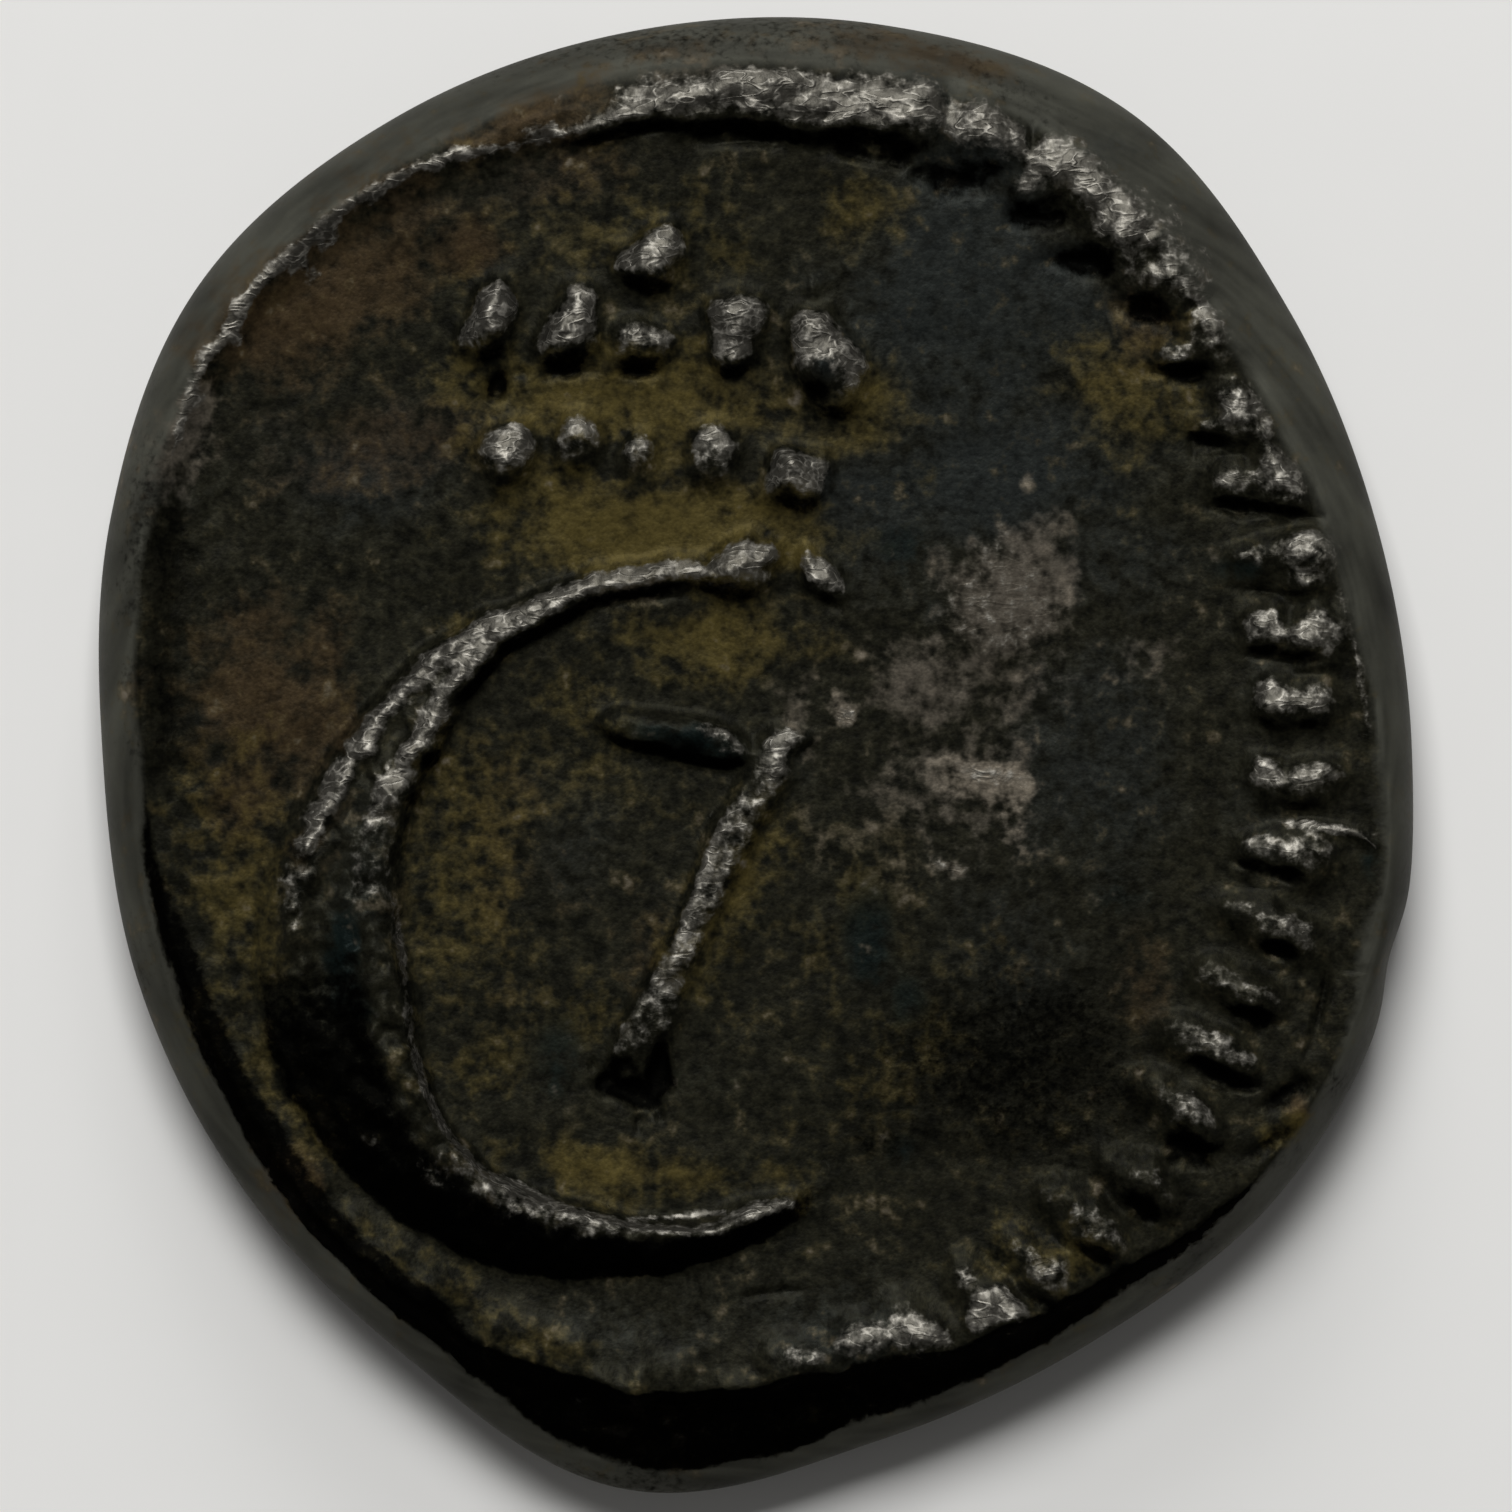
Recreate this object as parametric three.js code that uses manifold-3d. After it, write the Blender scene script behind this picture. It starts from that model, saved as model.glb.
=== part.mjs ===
// A small hammered silver coin of ancient make, lying on its reverse, in millimetres.
// +Z is up, out of the obverse; +Y points to the top of the obverse design.
// The origin is under the middle of the flan, on the plane of the worn high points it rests on.
// One solid: an irregular cast flan, struck on both faces, with its relief standing on the fields.

import * as THREE from "three";
import { mergeVertices } from "three/addons/utils/BufferGeometryUtils.js";
import Module from "manifold-3d";

// Flan, in millimetres.
const FLAN_LENGTH = 14.0; // along Y, the longer way across
const FLAN_THICKNESS = 1.34; // between the two fields, in the middle
const OBVERSE_DISH = 0.07; // how much higher the obverse field is at its edge
const REVERSE_FIELD = 0.16; // height of the reverse field over the resting plane, in the middle
const REVERSE_DOME = 0.1; // how much further the reverse field has curved up at its edge
const DIE_STEP_TOP = 0.05; // drop from the struck face to the bare shoulder, round the top half
const DIE_STEP_BOTTOM = 0.2; // and at the bottom, where the die was pressed deepest

// Relief, in millimetres over the field that it stands on.
const CRESCENT_RELIEF = 0.36;
const BAR_RELIEF = 0.22;
const STEM_RELIEF = 0.24;
const FOOT_RELIEF = 0.2;
const PELLET_RELIEF = 0.24;
const TOOTH_RELIEF = 0.2;
const RIM_RELIEF = 0.2;
const REVERSE_WEAR = 0.1; // how much of the reverse's relief has worn off, down to the resting plane

// Fineness of the facets.
const FLAN_SIDES = 72;
const STROKE_SIDES = 10;
const STROKE_ENDS = 6; // steps that round the two ends of a stroke
const STROKE_FACET = 0.7; // length of each further step along it
const PELLET_SIDES = 10;
const PELLET_RINGS = 5;

// The obverse field's height in the middle, and the widest line of the edge, midway between the fields.
const OBVERSE_FIELD = REVERSE_FIELD + FLAN_THICKNESS;
const EQUATOR = (REVERSE_FIELD + OBVERSE_FIELD) / 2;
// Each raised piece reaches deeper than the shoulder drops, so that it stays rooted at the edge.
const ROOT_MARGIN = 0.15;
const RELIEF_ROOT = DIE_STEP_BOTTOM + ROOT_MARGIN;

// The free forms below are shares of half the flan's length. An edge is cut by eye: its radii stand at even
// steps of the clock, in degrees, from +X round by +Y.
const CLOCK_STEP = 20;

// Radii of the flan's outline about the origin.
const OUTLINE = [
  0.887, 0.894, 0.938, 1.004, 1.0, 0.991, 0.989, 0.985, 0.93, 0.885, 0.892, 0.911, 0.945, 1.012, 0.945, 0.917,
  0.926, 0.915,
];
// A small nick in the flan's edge, in degrees and shares.
const NICK = { at: -18, wide: 4, deep: 0.013 };

// The obverse die fell a little high and left: its middle, and the radii where its face ends.
const DIE_MIDDLE = new THREE.Vector2(-0.07, 0.045);
const DIE_EDGE = [
  0.913, 0.88, 0.896, 0.923, 0.89, 0.842, 0.85, 0.855, 0.805, 0.758, 0.774, 0.808, 0.873, 0.907, 0.899, 0.92,
  0.963, 0.963,
];
const REVERSE_EDGE = 0.84; // where the reverse's struck face ends, as a share of the outline

// The crescent, as stations of its middle line with its width there: x, y, width.
const CRESCENT = [
  [-0.02, 0.245, 0.036],
  [-0.16, 0.241, 0.038],
  [-0.27, 0.21, 0.05],
  [-0.375, 0.169, 0.078],
  [-0.465, 0.066, 0.105],
  [-0.539, -0.074, 0.146],
  [-0.566, -0.2, 0.174],
  [-0.561, -0.336, 0.182],
  [-0.513, -0.484, 0.178],
  [-0.424, -0.6, 0.13],
  [-0.289, -0.647, 0.1],
  [-0.148, -0.671, 0.064],
  [-0.044, -0.657, 0.046],
  [0.059, -0.594, 0.012],
];
// A doubled edge outside the crescent's broadest part, half as high as the rim.
const CRESCENT_ECHO = [
  [-0.668, -0.286, 0.02],
  [-0.645, -0.38, 0.034],
  [-0.598, -0.49, 0.02],
];
// Inside the crescent: a lens-shaped bar, a slanting stem and the stem's wedge foot.
const BAR = [
  [-0.2, 0.038, 0.04],
  [-0.146, 0.024, 0.06],
  [-0.088, 0.016, 0.066],
  [-0.012, 0.001, 0.034],
];
const STEM = [
  [0.028, 0.02, 0.05],
  [-0.006, -0.037, 0.057],
  [-0.058, -0.161, 0.05],
  [-0.114, -0.291, 0.054],
  [-0.15, -0.388, 0.052],
  [-0.158, -0.42, 0.03],
];
const FOOT = [
  [-0.232, -0.452, 0.018],
  [-0.17, -0.436, 0.056],
  [-0.132, -0.42, 0.05],
];

// Pellets above and beside the crescent: x, y, width, length, tilt in degrees, share of the full relief.
const PELLETS = [
  [-0.142, 0.676, 0.081, 0.081, 40, 1.0],
  [-0.358, 0.577, 0.066, 0.098, -20, 0.95],
  [-0.249, 0.579, 0.075, 0.096, -18, 1.0],
  [-0.154, 0.549, 0.085, 0.068, 0, 0.55],
  [-0.026, 0.565, 0.072, 0.086, 0, 1.0],
  [0.097, 0.53, 0.1, 0.138, 12, 1.1],
  [-0.334, 0.407, 0.065, 0.072, 0, 0.9],
  [-0.238, 0.424, 0.058, 0.068, 0, 0.7],
  [-0.158, 0.407, 0.045, 0.062, 0, 0.6],
  [-0.059, 0.405, 0.062, 0.076, 0, 0.7],
  [0.054, 0.373, 0.077, 0.084, 0, 1.0],
  [-0.02, 0.245, 0.074, 0.076, 0, 1.0],
  [0.094, 0.231, 0.05, 0.043, -20, 0.55],
];

// The worn rim bead over the top and left, as stations: x, y, width.
const RIM_BEAD = [
  [0.172, 0.882, 0.06],
  [0.085, 0.894, 0.068],
  [-0.02, 0.896, 0.066],
  [-0.13, 0.879, 0.044],
  [-0.307, 0.827, 0.026],
  [-0.455, 0.783, 0.022],
  [-0.583, 0.715, 0.024],
  [-0.67, 0.633, 0.028],
  [-0.733, 0.532, 0.026],
  [-0.77, 0.44, 0.034],
  [-0.789, 0.37, 0.02],
];
// Where several border teeth are flattened into one swelling.
const RIM_SWELLING = [
  [0.435, 0.745, 0.05],
  [0.523, 0.67, 0.086],
  [0.592, 0.595, 0.06],
];

// Border teeth round the right side: long pellets on rays from the die's middle, evenly pitched, in degrees.
const TOOTH = {
  first: 70.8,
  pitch: 6.75,
  count: 22,
  far: 0.867, // radius of the ring of teeth where it is widest
  near: 0.791, // and on the right, where it is flattest
  length: 0.13,
  endLength: 0.085,
  width: 0.066,
};

// The plainer reverse: a worn boss, pellets round it and an outer ring of longer ones.
const BOSS = { radius: 0.17, taper: 0.8, sides: 20 };
const ROSETTE = { radius: 0.34, count: 8, width: 0.1 };
const REVERSE_TEETH = { radius: 0.62, count: 18, length: 0.14, width: 0.075 };

// Reads a closed edge, given as radii at even clock steps, at any angle, with a smooth curve between them.
function radiusAt(radii, degrees) {
  const turn = THREE.MathUtils.euclideanModulo(degrees, 360) / CLOCK_STEP;
  const from = Math.floor(turn);
  const part = turn - from;
  const [a, b, c, d] = [-1, 0, 1, 2].map((k) => radii[(from + k + radii.length) % radii.length]);
  const slope = (c - a) * part;
  const bend = (2 * a - 5 * b + 4 * c - d) * part ** 2;
  const twist = (3 * b - a - 3 * c + d) * part ** 3;
  return b + (slope + bend + twist) / 2;
}

function ray(degrees, length) {
  const angle = THREE.MathUtils.degToRad(degrees);
  return new THREE.Vector2(Math.cos(angle), Math.sin(angle)).multiplyScalar(length);
}

// How far the outline reaches along Y, top to bottom, in its own shares.
function outlineSpan() {
  const heights = Array.from({ length: 360 }, (_, degrees) => ray(degrees, radiusAt(OUTLINE, degrees)).y);
  return Math.max(...heights) - Math.min(...heights);
}

const HALF = FLAN_LENGTH / outlineSpan();

// A point of the flan's outline, with the nick let into it.
function outlinePoint(degrees) {
  const away = THREE.MathUtils.euclideanModulo(degrees - NICK.at + 180, 360) - 180;
  const nick = NICK.deep * Math.exp(-((away / NICK.wide) ** 2));
  return ray(degrees, HALF * (radiusAt(OUTLINE, degrees) - nick));
}

function dieEdgePoint(degrees) {
  return ray(degrees, HALF * radiusAt(DIE_EDGE, degrees)).addScaledVector(DIE_MIDDLE, HALF);
}

// Height of the obverse field at a place in the plane.
function obverseHeight(x, y) {
  const out = new THREE.Vector2(x, y).addScaledVector(DIE_MIDDLE, -HALF);
  const degrees = THREE.MathUtils.radToDeg(Math.atan2(out.y, out.x));
  const share = out.length() / (HALF * radiusAt(DIE_EDGE, degrees));
  return OBVERSE_FIELD + OBVERSE_DISH * share ** 2;
}

// Height of the reverse field, which curves up towards its edge.
function reverseHeight(x, y) {
  const degrees = THREE.MathUtils.radToDeg(Math.atan2(y, x));
  const share = Math.hypot(x, y) / (REVERSE_EDGE * outlinePoint(degrees).length());
  return REVERSE_FIELD + REVERSE_DOME * share ** 2;
}

// Where a point of the turned lens goes on the flan. Reach runs from 0 in the middle, by 1 at the
// end of the struck face, to 2 at the widest line; the side is 1 over the equator and -1 under it.
function flanPoint(degrees, reach, side) {
  const edge = side > 0 ? dieEdgePoint(degrees) : outlinePoint(degrees).multiplyScalar(REVERSE_EDGE);
  const middle = side > 0 ? DIE_MIDDLE.clone().multiplyScalar(HALF) : new THREE.Vector2();
  const fieldAt = side > 0 ? obverseHeight : reverseHeight;
  if (reach <= 1) {
    const place = middle.lerp(edge, reach);
    return new THREE.Vector3(place.x, place.y, fieldAt(place.x, place.y));
  }
  const out = reach - 1;
  const place = edge.clone().lerp(outlinePoint(degrees), out);
  const low = Math.max(0, -Math.sin(THREE.MathUtils.degToRad(degrees)));
  const step = side > 0 ? THREE.MathUtils.lerp(DIE_STEP_TOP, DIE_STEP_BOTTOM, low) : 0;
  const start = fieldAt(edge.x, edge.y) - step;
  const fall = Math.sqrt(Math.max(0, 1 - out ** 2));
  return new THREE.Vector3(place.x, place.y, EQUATOR + (start - EQUATOR) * fall);
}

// The bare flan: a lens turned about its axis, then each point moved out to the hammered form.
function flanGeometry() {
  const reaches = [0.4, 0.7, 1.0, 1.07, 1.4, 1.7, 1.9];
  const profile = [
    new THREE.Vector2(0, -1),
    ...reaches.map((reach) => new THREE.Vector2(reach, -1)),
    new THREE.Vector2(2, 0),
    ...reaches.toReversed().map((reach) => new THREE.Vector2(reach, 1)),
    new THREE.Vector2(0, 1),
  ];
  const lens = new THREE.LatheGeometry(profile, FLAN_SIDES).rotateX(Math.PI / 2);
  const points = lens.getAttribute("position");
  for (let i = 0; i < points.count; i++) {
    const [x, y, z] = [points.getX(i), points.getY(i), points.getZ(i)];
    const degrees = THREE.MathUtils.radToDeg(Math.atan2(y, x));
    const moved = flanPoint(degrees, Math.hypot(x, y), z < 0 ? -1 : 1);
    points.setXYZ(i, moved.x, moved.y, moved.z);
  }
  return lens;
}

// Draws a round section out towards a square one, so that a raised piece stands up like a pillow.
const PILLOW = 0.78;
function pillow(value) {
  return Math.sign(value) * Math.abs(value) ** PILLOW;
}

// A raised stroke: a spindle laid along its stations, swelling and thinning with their widths.
// A narrow stretch stands lower than a broad one, as a shallower cut in the die would leave it.
function strokeGeometry(stations, relief) {
  const path = new THREE.CatmullRomCurve3(
    stations.map(([x, y, width]) => new THREE.Vector3(x, y, width).multiplyScalar(HALF)),
  );
  const broadest = HALF * Math.max(...stations.map(([, , width]) => width));
  const steps = STROKE_ENDS + Math.round(path.getLength() / STROKE_FACET);
  const profile = [new THREE.Vector2(0, 0)];
  for (let i = 1; i < steps; i++) {
    const along = 0.5 - 0.5 * Math.cos((Math.PI * i) / steps);
    profile.push(new THREE.Vector2(Math.sqrt(1 - Math.abs(2 * along - 1) ** 8), along));
  }
  profile.push(new THREE.Vector2(0, 1));
  const spindle = new THREE.LatheGeometry(profile, STROKE_SIDES);
  const points = spindle.getAttribute("position");
  for (let i = 0; i < points.count; i++) {
    const along = THREE.MathUtils.clamp(points.getY(i), 0, 1);
    const station = path.getPoint(along);
    const tangent = path.getTangent(along);
    const across = new THREE.Vector2(-tangent.y, tangent.x).normalize();
    const side = (pillow(points.getX(i)) * station.z) / 2;
    const rise = pillow(points.getZ(i));
    const x = station.x + across.x * side;
    const y = station.y + across.y * side;
    const height = rise > 0 ? relief * Math.sqrt(Math.max(0, station.z) / broadest) : RELIEF_ROOT;
    points.setXYZ(i, x, y, obverseHeight(x, y) + rise * height);
  }
  return spindle;
}

// A dome on a root: a flattened ball, long along its tilt from +Y, with its lower half as deep as a root.
function domeGeometry(width, length, tilt, relief) {
  const ball = new THREE.SphereGeometry(1, PELLET_SIDES, PELLET_RINGS).rotateX(Math.PI / 2);
  const points = ball.getAttribute("position");
  for (let i = 0; i < points.count; i++) {
    const z = points.getZ(i);
    points.setZ(i, z * (z > 0 ? relief : RELIEF_ROOT));
  }
  ball.scale((HALF * width) / 2, (HALF * length) / 2, 1);
  return ball.rotateZ(THREE.MathUtils.degToRad(tilt));
}

// A pellet, drilled into the die with a round point and so domed on the coin.
function pelletGeometry([x, y, width, length, tilt, share]) {
  const place = new THREE.Vector2(x, y).multiplyScalar(HALF);
  const dome = domeGeometry(width, length, tilt, PELLET_RELIEF * share);
  return dome.translate(place.x, place.y, obverseHeight(place.x, place.y));
}

function toothGeometry(index) {
  const degrees = TOOTH.first - TOOTH.pitch * index;
  const cosine = Math.cos(THREE.MathUtils.degToRad(degrees));
  const radius = TOOTH.far - (TOOTH.far - TOOTH.near) * cosine ** 4;
  const length = THREE.MathUtils.lerp(TOOTH.endLength, TOOTH.length, cosine);
  const place = ray(degrees, radius).add(DIE_MIDDLE).multiplyScalar(HALF);
  const dome = domeGeometry(TOOTH.width, length, degrees - 90, TOOTH_RELIEF);
  return dome.translate(place.x, place.y, obverseHeight(place.x, place.y));
}

// The reverse's middle boss, a low tapered drum that ends flat in the resting plane.
function bossGeometry() {
  const radius = HALF * BOSS.radius;
  const drum = new THREE.CylinderGeometry(radius, radius * BOSS.taper, 2 * REVERSE_FIELD, BOSS.sides);
  return drum.rotateX(Math.PI / 2).translate(0, 0, REVERSE_FIELD);
}

function obverseRelief() {
  return [
    strokeGeometry(CRESCENT, CRESCENT_RELIEF),
    strokeGeometry(CRESCENT_ECHO, RIM_RELIEF / 2),
    strokeGeometry(BAR, BAR_RELIEF),
    strokeGeometry(STEM, STEM_RELIEF),
    strokeGeometry(FOOT, FOOT_RELIEF),
    strokeGeometry(RIM_BEAD, RIM_RELIEF),
    strokeGeometry(RIM_SWELLING, RIM_RELIEF),
    ...PELLETS.map(pelletGeometry),
    ...Array.from({ length: TOOTH.count }, (_, i) => toothGeometry(i)),
  ];
}

// An even ring of pellets round the middle of the reverse, each worn down to the resting plane.
function reverseRing({ radius, count, width, length = width }) {
  return Array.from({ length: count }, (_, i) => {
    const degrees = (360 / count) * i;
    const place = ray(degrees, HALF * radius);
    const field = reverseHeight(place.x, place.y);
    const dome = domeGeometry(width, length, degrees - 90, field + REVERSE_WEAR);
    return dome.scale(1, 1, -1).translate(place.x, place.y, field);
  });
}

function reverseRelief() {
  return [bossGeometry(), ...reverseRing(ROSETTE), ...reverseRing(REVERSE_TEETH)];
}

const wasm = await Module();
wasm.setup();

// Turns a closed three.js geometry into a solid that can be joined and cut.
function solid(geometry) {
  geometry.deleteAttribute("normal");
  geometry.deleteAttribute("uv");
  const merged = mergeVertices(geometry, 1e-4);
  const made = new wasm.Manifold(
    new wasm.Mesh({
      numProp: 3,
      vertProperties: new Float32Array(merged.getAttribute("position").array),
      triVerts: new Uint32Array(merged.getIndex().array),
    }),
  );
  return made.volume() < 0 ? solid(flipped(merged)) : made;
}

// The same geometry with its faces turned the other way.
function flipped(geometry) {
  const index = geometry.getIndex();
  for (let i = 0; i < index.count; i += 3) {
    const second = index.getX(i + 1);
    index.setX(i + 1, index.getX(i + 2));
    index.setX(i + 2, second);
  }
  return geometry;
}

function geometryOf(made) {
  const mesh = made.getMesh();
  return new THREE.BufferGeometry()
    .setAttribute("position", new THREE.BufferAttribute(mesh.vertProperties, 3))
    .setIndex(new THREE.BufferAttribute(mesh.triVerts, 1));
}

// The flan with both reliefs on it, its reverse worn flat where it would reach under the resting plane.
function coinGeometry() {
  let coin = solid(flanGeometry());
  for (const piece of [...obverseRelief(), ...reverseRelief()]) coin = coin.add(solid(piece));
  const wear = new THREE.BoxGeometry(3 * FLAN_LENGTH, 3 * FLAN_LENGTH, 1).translate(0, 0, -0.5);
  return geometryOf(coin.subtract(solid(wear)));
}

// Blackened silver: dark toning with a dull metal sheen.
const tonedSilver = new THREE.MeshStandardMaterial({ color: 0x4a4943, roughness: 0.5, metalness: 0.85 });

const coin = new THREE.Mesh(coinGeometry(), tonedSilver);
coin.name = "silver_coin";

const part = new THREE.Group();
part.add(coin);

export default part;
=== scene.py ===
"""A small hammered silver coin, toned nearly black, lying flat with its struck crescent up.

The flan is one sculpted piece. Its plan, relief, wear, toning and painted shade and highlights are
all worked out from places measured in the photograph's frame, and its reverse, which the photograph
hides, is a plainer face.
"""

from __future__ import annotations

import logging
from dataclasses import dataclass
from enum import Enum
from typing import Union

import bmesh
import bpy
import numpy as np
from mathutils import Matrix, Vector


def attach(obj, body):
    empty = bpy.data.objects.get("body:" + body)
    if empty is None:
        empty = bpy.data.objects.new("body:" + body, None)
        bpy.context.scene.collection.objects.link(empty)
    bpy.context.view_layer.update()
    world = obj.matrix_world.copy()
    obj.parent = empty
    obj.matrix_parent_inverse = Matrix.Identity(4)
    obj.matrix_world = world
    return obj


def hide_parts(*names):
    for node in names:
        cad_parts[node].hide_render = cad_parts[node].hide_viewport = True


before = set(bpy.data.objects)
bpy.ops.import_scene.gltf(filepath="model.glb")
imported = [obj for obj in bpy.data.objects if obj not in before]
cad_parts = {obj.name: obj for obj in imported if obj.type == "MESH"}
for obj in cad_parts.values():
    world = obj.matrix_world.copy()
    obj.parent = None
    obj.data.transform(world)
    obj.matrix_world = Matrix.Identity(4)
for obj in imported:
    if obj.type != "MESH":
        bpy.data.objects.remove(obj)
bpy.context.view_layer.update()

LOG = logging.getLogger("silver_coin")

Field = np.ndarray
Colour = tuple[float, float, float]
Row = tuple[float, ...]
Input = Union["Signal", bpy.types.NodeSocket, float, Row]

# The photograph's frame: where the coin's middle is, and how many rows its half length takes.
MIDDLE_COLUMN, MIDDLE_ROW = 756.5, 753.0
HALF_ROWS = 739.0
FRAME_ROWS = 1512.0

# Sizes of the coin, in millimetres.
MILLIMETRE = 0.001
HALF_LENGTH = 7.0
OBVERSE_FIELD = 1.5
OBVERSE_DISH = 0.07
EQUATOR = 0.83
REVERSE_FIELD = 0.16
REVERSE_DOME = 0.1

# How sharply raised forms that meet keep apart: a high power leaves a crease between them.
MELT = 3.0
PELLET_SPREAD = 1.3
PELLET_SKIRT = 0.08


class Tone(Enum):
    """The wear and toning, and the shade and highlights painted over the coin, each kept as one
    value a point.
    """

    WORN_AND_LIT = "worn_and_lit"
    GRIME_AND_SHADE = "grime_and_shade"
    OCHRE = "ochre"
    UMBER = "umber"
    SLATE = "slate"
    TEAL = "teal"
    ROSE = "rose"
    CREAM = "cream"
    BAND = "band"
    SOOT_AND_SHADE = "soot_and_shade"


COMMON_TONES = (Tone.OCHRE, Tone.UMBER, Tone.SLATE)


def spot(column: float, row: float) -> tuple[float, float]:
    """Turns a place in the photograph's frame into half lengths from the coin's middle."""
    return (column - MIDDLE_COLUMN) / HALF_ROWS, (MIDDLE_ROW - row) / HALF_ROWS


def smooth_step(values: Field, low: float, high: float) -> Field:
    """Rises smoothly from 0 at low to 1 at high, or falls where low is the larger."""
    part = np.clip((values - low) / (high - low), 0.0, 1.0)
    return part * part * (3.0 - 2.0 * part)


def between(degrees: Field, first: float, last: float, fade: float) -> Field:
    """1 from the first angle round to the last, falling to 0 over the fade on both sides."""
    middle, half = (first + last) / 2, (last - first) / 2
    away = np.abs(np.mod(degrees - middle + 180.0, 360.0) - 180.0)
    return smooth_step(away, half + fade, half)


def round_clock(degrees: Field, rows: tuple[Row, ...]) -> Field:
    """Reads a value that is given at a few angles and runs evenly between them."""
    angles, values = zip(*rows)
    return np.interp(np.mod(degrees, 360.0), angles, values, period=360.0)


def smooth_between(rows: tuple[Field, ...], part: Field) -> Field:
    """A smooth curve through four neighbours, read between the middle two."""
    a, b, c, d = rows
    slope = (c - a) * part
    bend = (2 * a - 5 * b + 4 * c - d) * part**2
    twist = (3 * b - a - 3 * c + d) * part**3
    return b + (slope + bend + twist) / 2


def grain(u: Field, v: Field, cell: float, seed: int, octaves: int = 3) -> Field:
    """Smooth seeded noise about 0, with lumps of about one cell.

    Args:
        u: Places along X, in half lengths.
        v: Places along Y, in half lengths.
        cell: Size of the largest lumps, in half lengths.
        seed: Start of the random draw.
        octaves: How many halvings of the cell are added.

    Returns:
        One value a place, mostly within -1 to 1.
    """
    side = 256
    total = np.zeros_like(u)
    for octave in range(octaves):
        lattice = np.random.default_rng(seed + octave).uniform(-1.0, 1.0, (side, side))
        size = cell / 2**octave
        a, b = u / size + 40.37 * (octave + 1), v / size + 17.91 * (octave + 1)
        i, j = np.floor(a).astype(int), np.floor(b).astype(int)
        s, t = smooth_step(a - i, 0, 1), smooth_step(b - j, 0, 1)
        near, far = i % side, (i + 1) % side
        low, high = j % side, (j + 1) % side
        bottom = lattice[near, low] * (1 - s) + lattice[far, low] * s
        top = lattice[near, high] * (1 - s) + lattice[far, high] * s
        total += (bottom * (1 - t) + top * t) / 2**octave
    return total


def blurred(values: Field, cells: int) -> Field:
    """Spreads a sheet of values over a square of cells, twice, for a soft round blur."""
    for _ in range(2):
        for axis in (0, 1):
            pad = [(0, 0), (0, 0)]
            pad[axis] = (cells + 1, cells)
            run = np.cumsum(np.pad(values, pad, mode="edge"), axis=axis)
            width = 2 * cells + 1
            upper = np.take(run, range(width, run.shape[axis]), axis=axis)
            lower = np.take(run, range(0, run.shape[axis] - width), axis=axis)
            values = (upper - lower) / width
    return values


@dataclass(frozen=True)
class HandCutCurve:
    """A closed edge cut by eye: radii at even steps round a middle, in half lengths."""

    middle: tuple[float, float]
    radii: tuple[float, ...]

    def radius(self, angle: Field) -> Field:
        """Reads the radius at angles in radians, on a smooth curve between the steps."""
        count = len(self.radii)
        turn = np.mod(np.degrees(angle), 360.0) / (360.0 / count)
        first = np.floor(turn).astype(int)
        radii = np.array(self.radii)
        rows = tuple(radii[(first + step) % count] for step in (-1, 0, 1, 2))
        return smooth_between(rows, turn - first)

    def polar(self, u: Field, v: Field) -> tuple[Field, Field]:
        """Angle and distance of places from the curve's middle."""
        across, up = u - self.middle[0], v - self.middle[1]
        return np.arctan2(up, across), np.hypot(across, up)

    def share(self, u: Field, v: Field) -> Field:
        """How far out places are: 0 in the middle, 1 on the curve."""
        angle, distance = self.polar(u, v)
        return distance / self.radius(angle)


@dataclass(frozen=True)
class Lump:
    """A round or long lump, or a soft patch of colour, given in the photograph's pixels."""

    column: float
    row: float
    width: float
    height: float
    tilt: float = 0.0
    share: float = 1.0

    def near(self, u: Field, v: Field, spread: float) -> Field:
        """Marks the places within some half widths of the lump's middle."""
        middle = spot(self.column, self.row)
        limit = spread * max(self.width, self.height) / 2 / HALF_ROWS
        return (np.abs(u - middle[0]) < limit) & (np.abs(v - middle[1]) < limit)

    def reach(self, u: Field, v: Field, seed: int, rough: float, cell: float = 0.03) -> Field:
        """0 in the lump's middle and 1 round its foot, with an uneven outline."""
        middle = spot(self.column, self.row)
        turn = np.radians(self.tilt)
        du, dv = (u - middle[0]) * HALF_ROWS, (v - middle[1]) * HALF_ROWS
        long = du * np.cos(turn) + dv * np.sin(turn)
        wide = dv * np.cos(turn) - du * np.sin(turn)
        reach = np.hypot(long / (self.width / 2), wide / (self.height / 2))
        return reach * (1 + rough * grain(u, v, cell, seed, 2))

    def dome(self, u: Field, v: Field, seed: int) -> Field:
        """Share of the full relief at each place: a steep dome on a soft skirt."""
        reach = self.reach(u, v, seed, 0.2, 0.026) / PELLET_SPREAD
        dome = np.clip(1 - np.clip(reach, 0, 1) ** 2.3, 0, 1) ** 0.85
        skirt = PELLET_SKIRT * smooth_step(reach, 1.6, 0.9)
        return self.share * ((1 - PELLET_SKIRT) * dome + skirt)

    def patch(self, u: Field, v: Field, seed: int) -> Field:
        """Strength of the patch at each place, fading out with a ragged edge."""
        return self.share * smooth_step(self.reach(u, v, seed, 0.45, 0.09), 1.7, 0.1)


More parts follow.
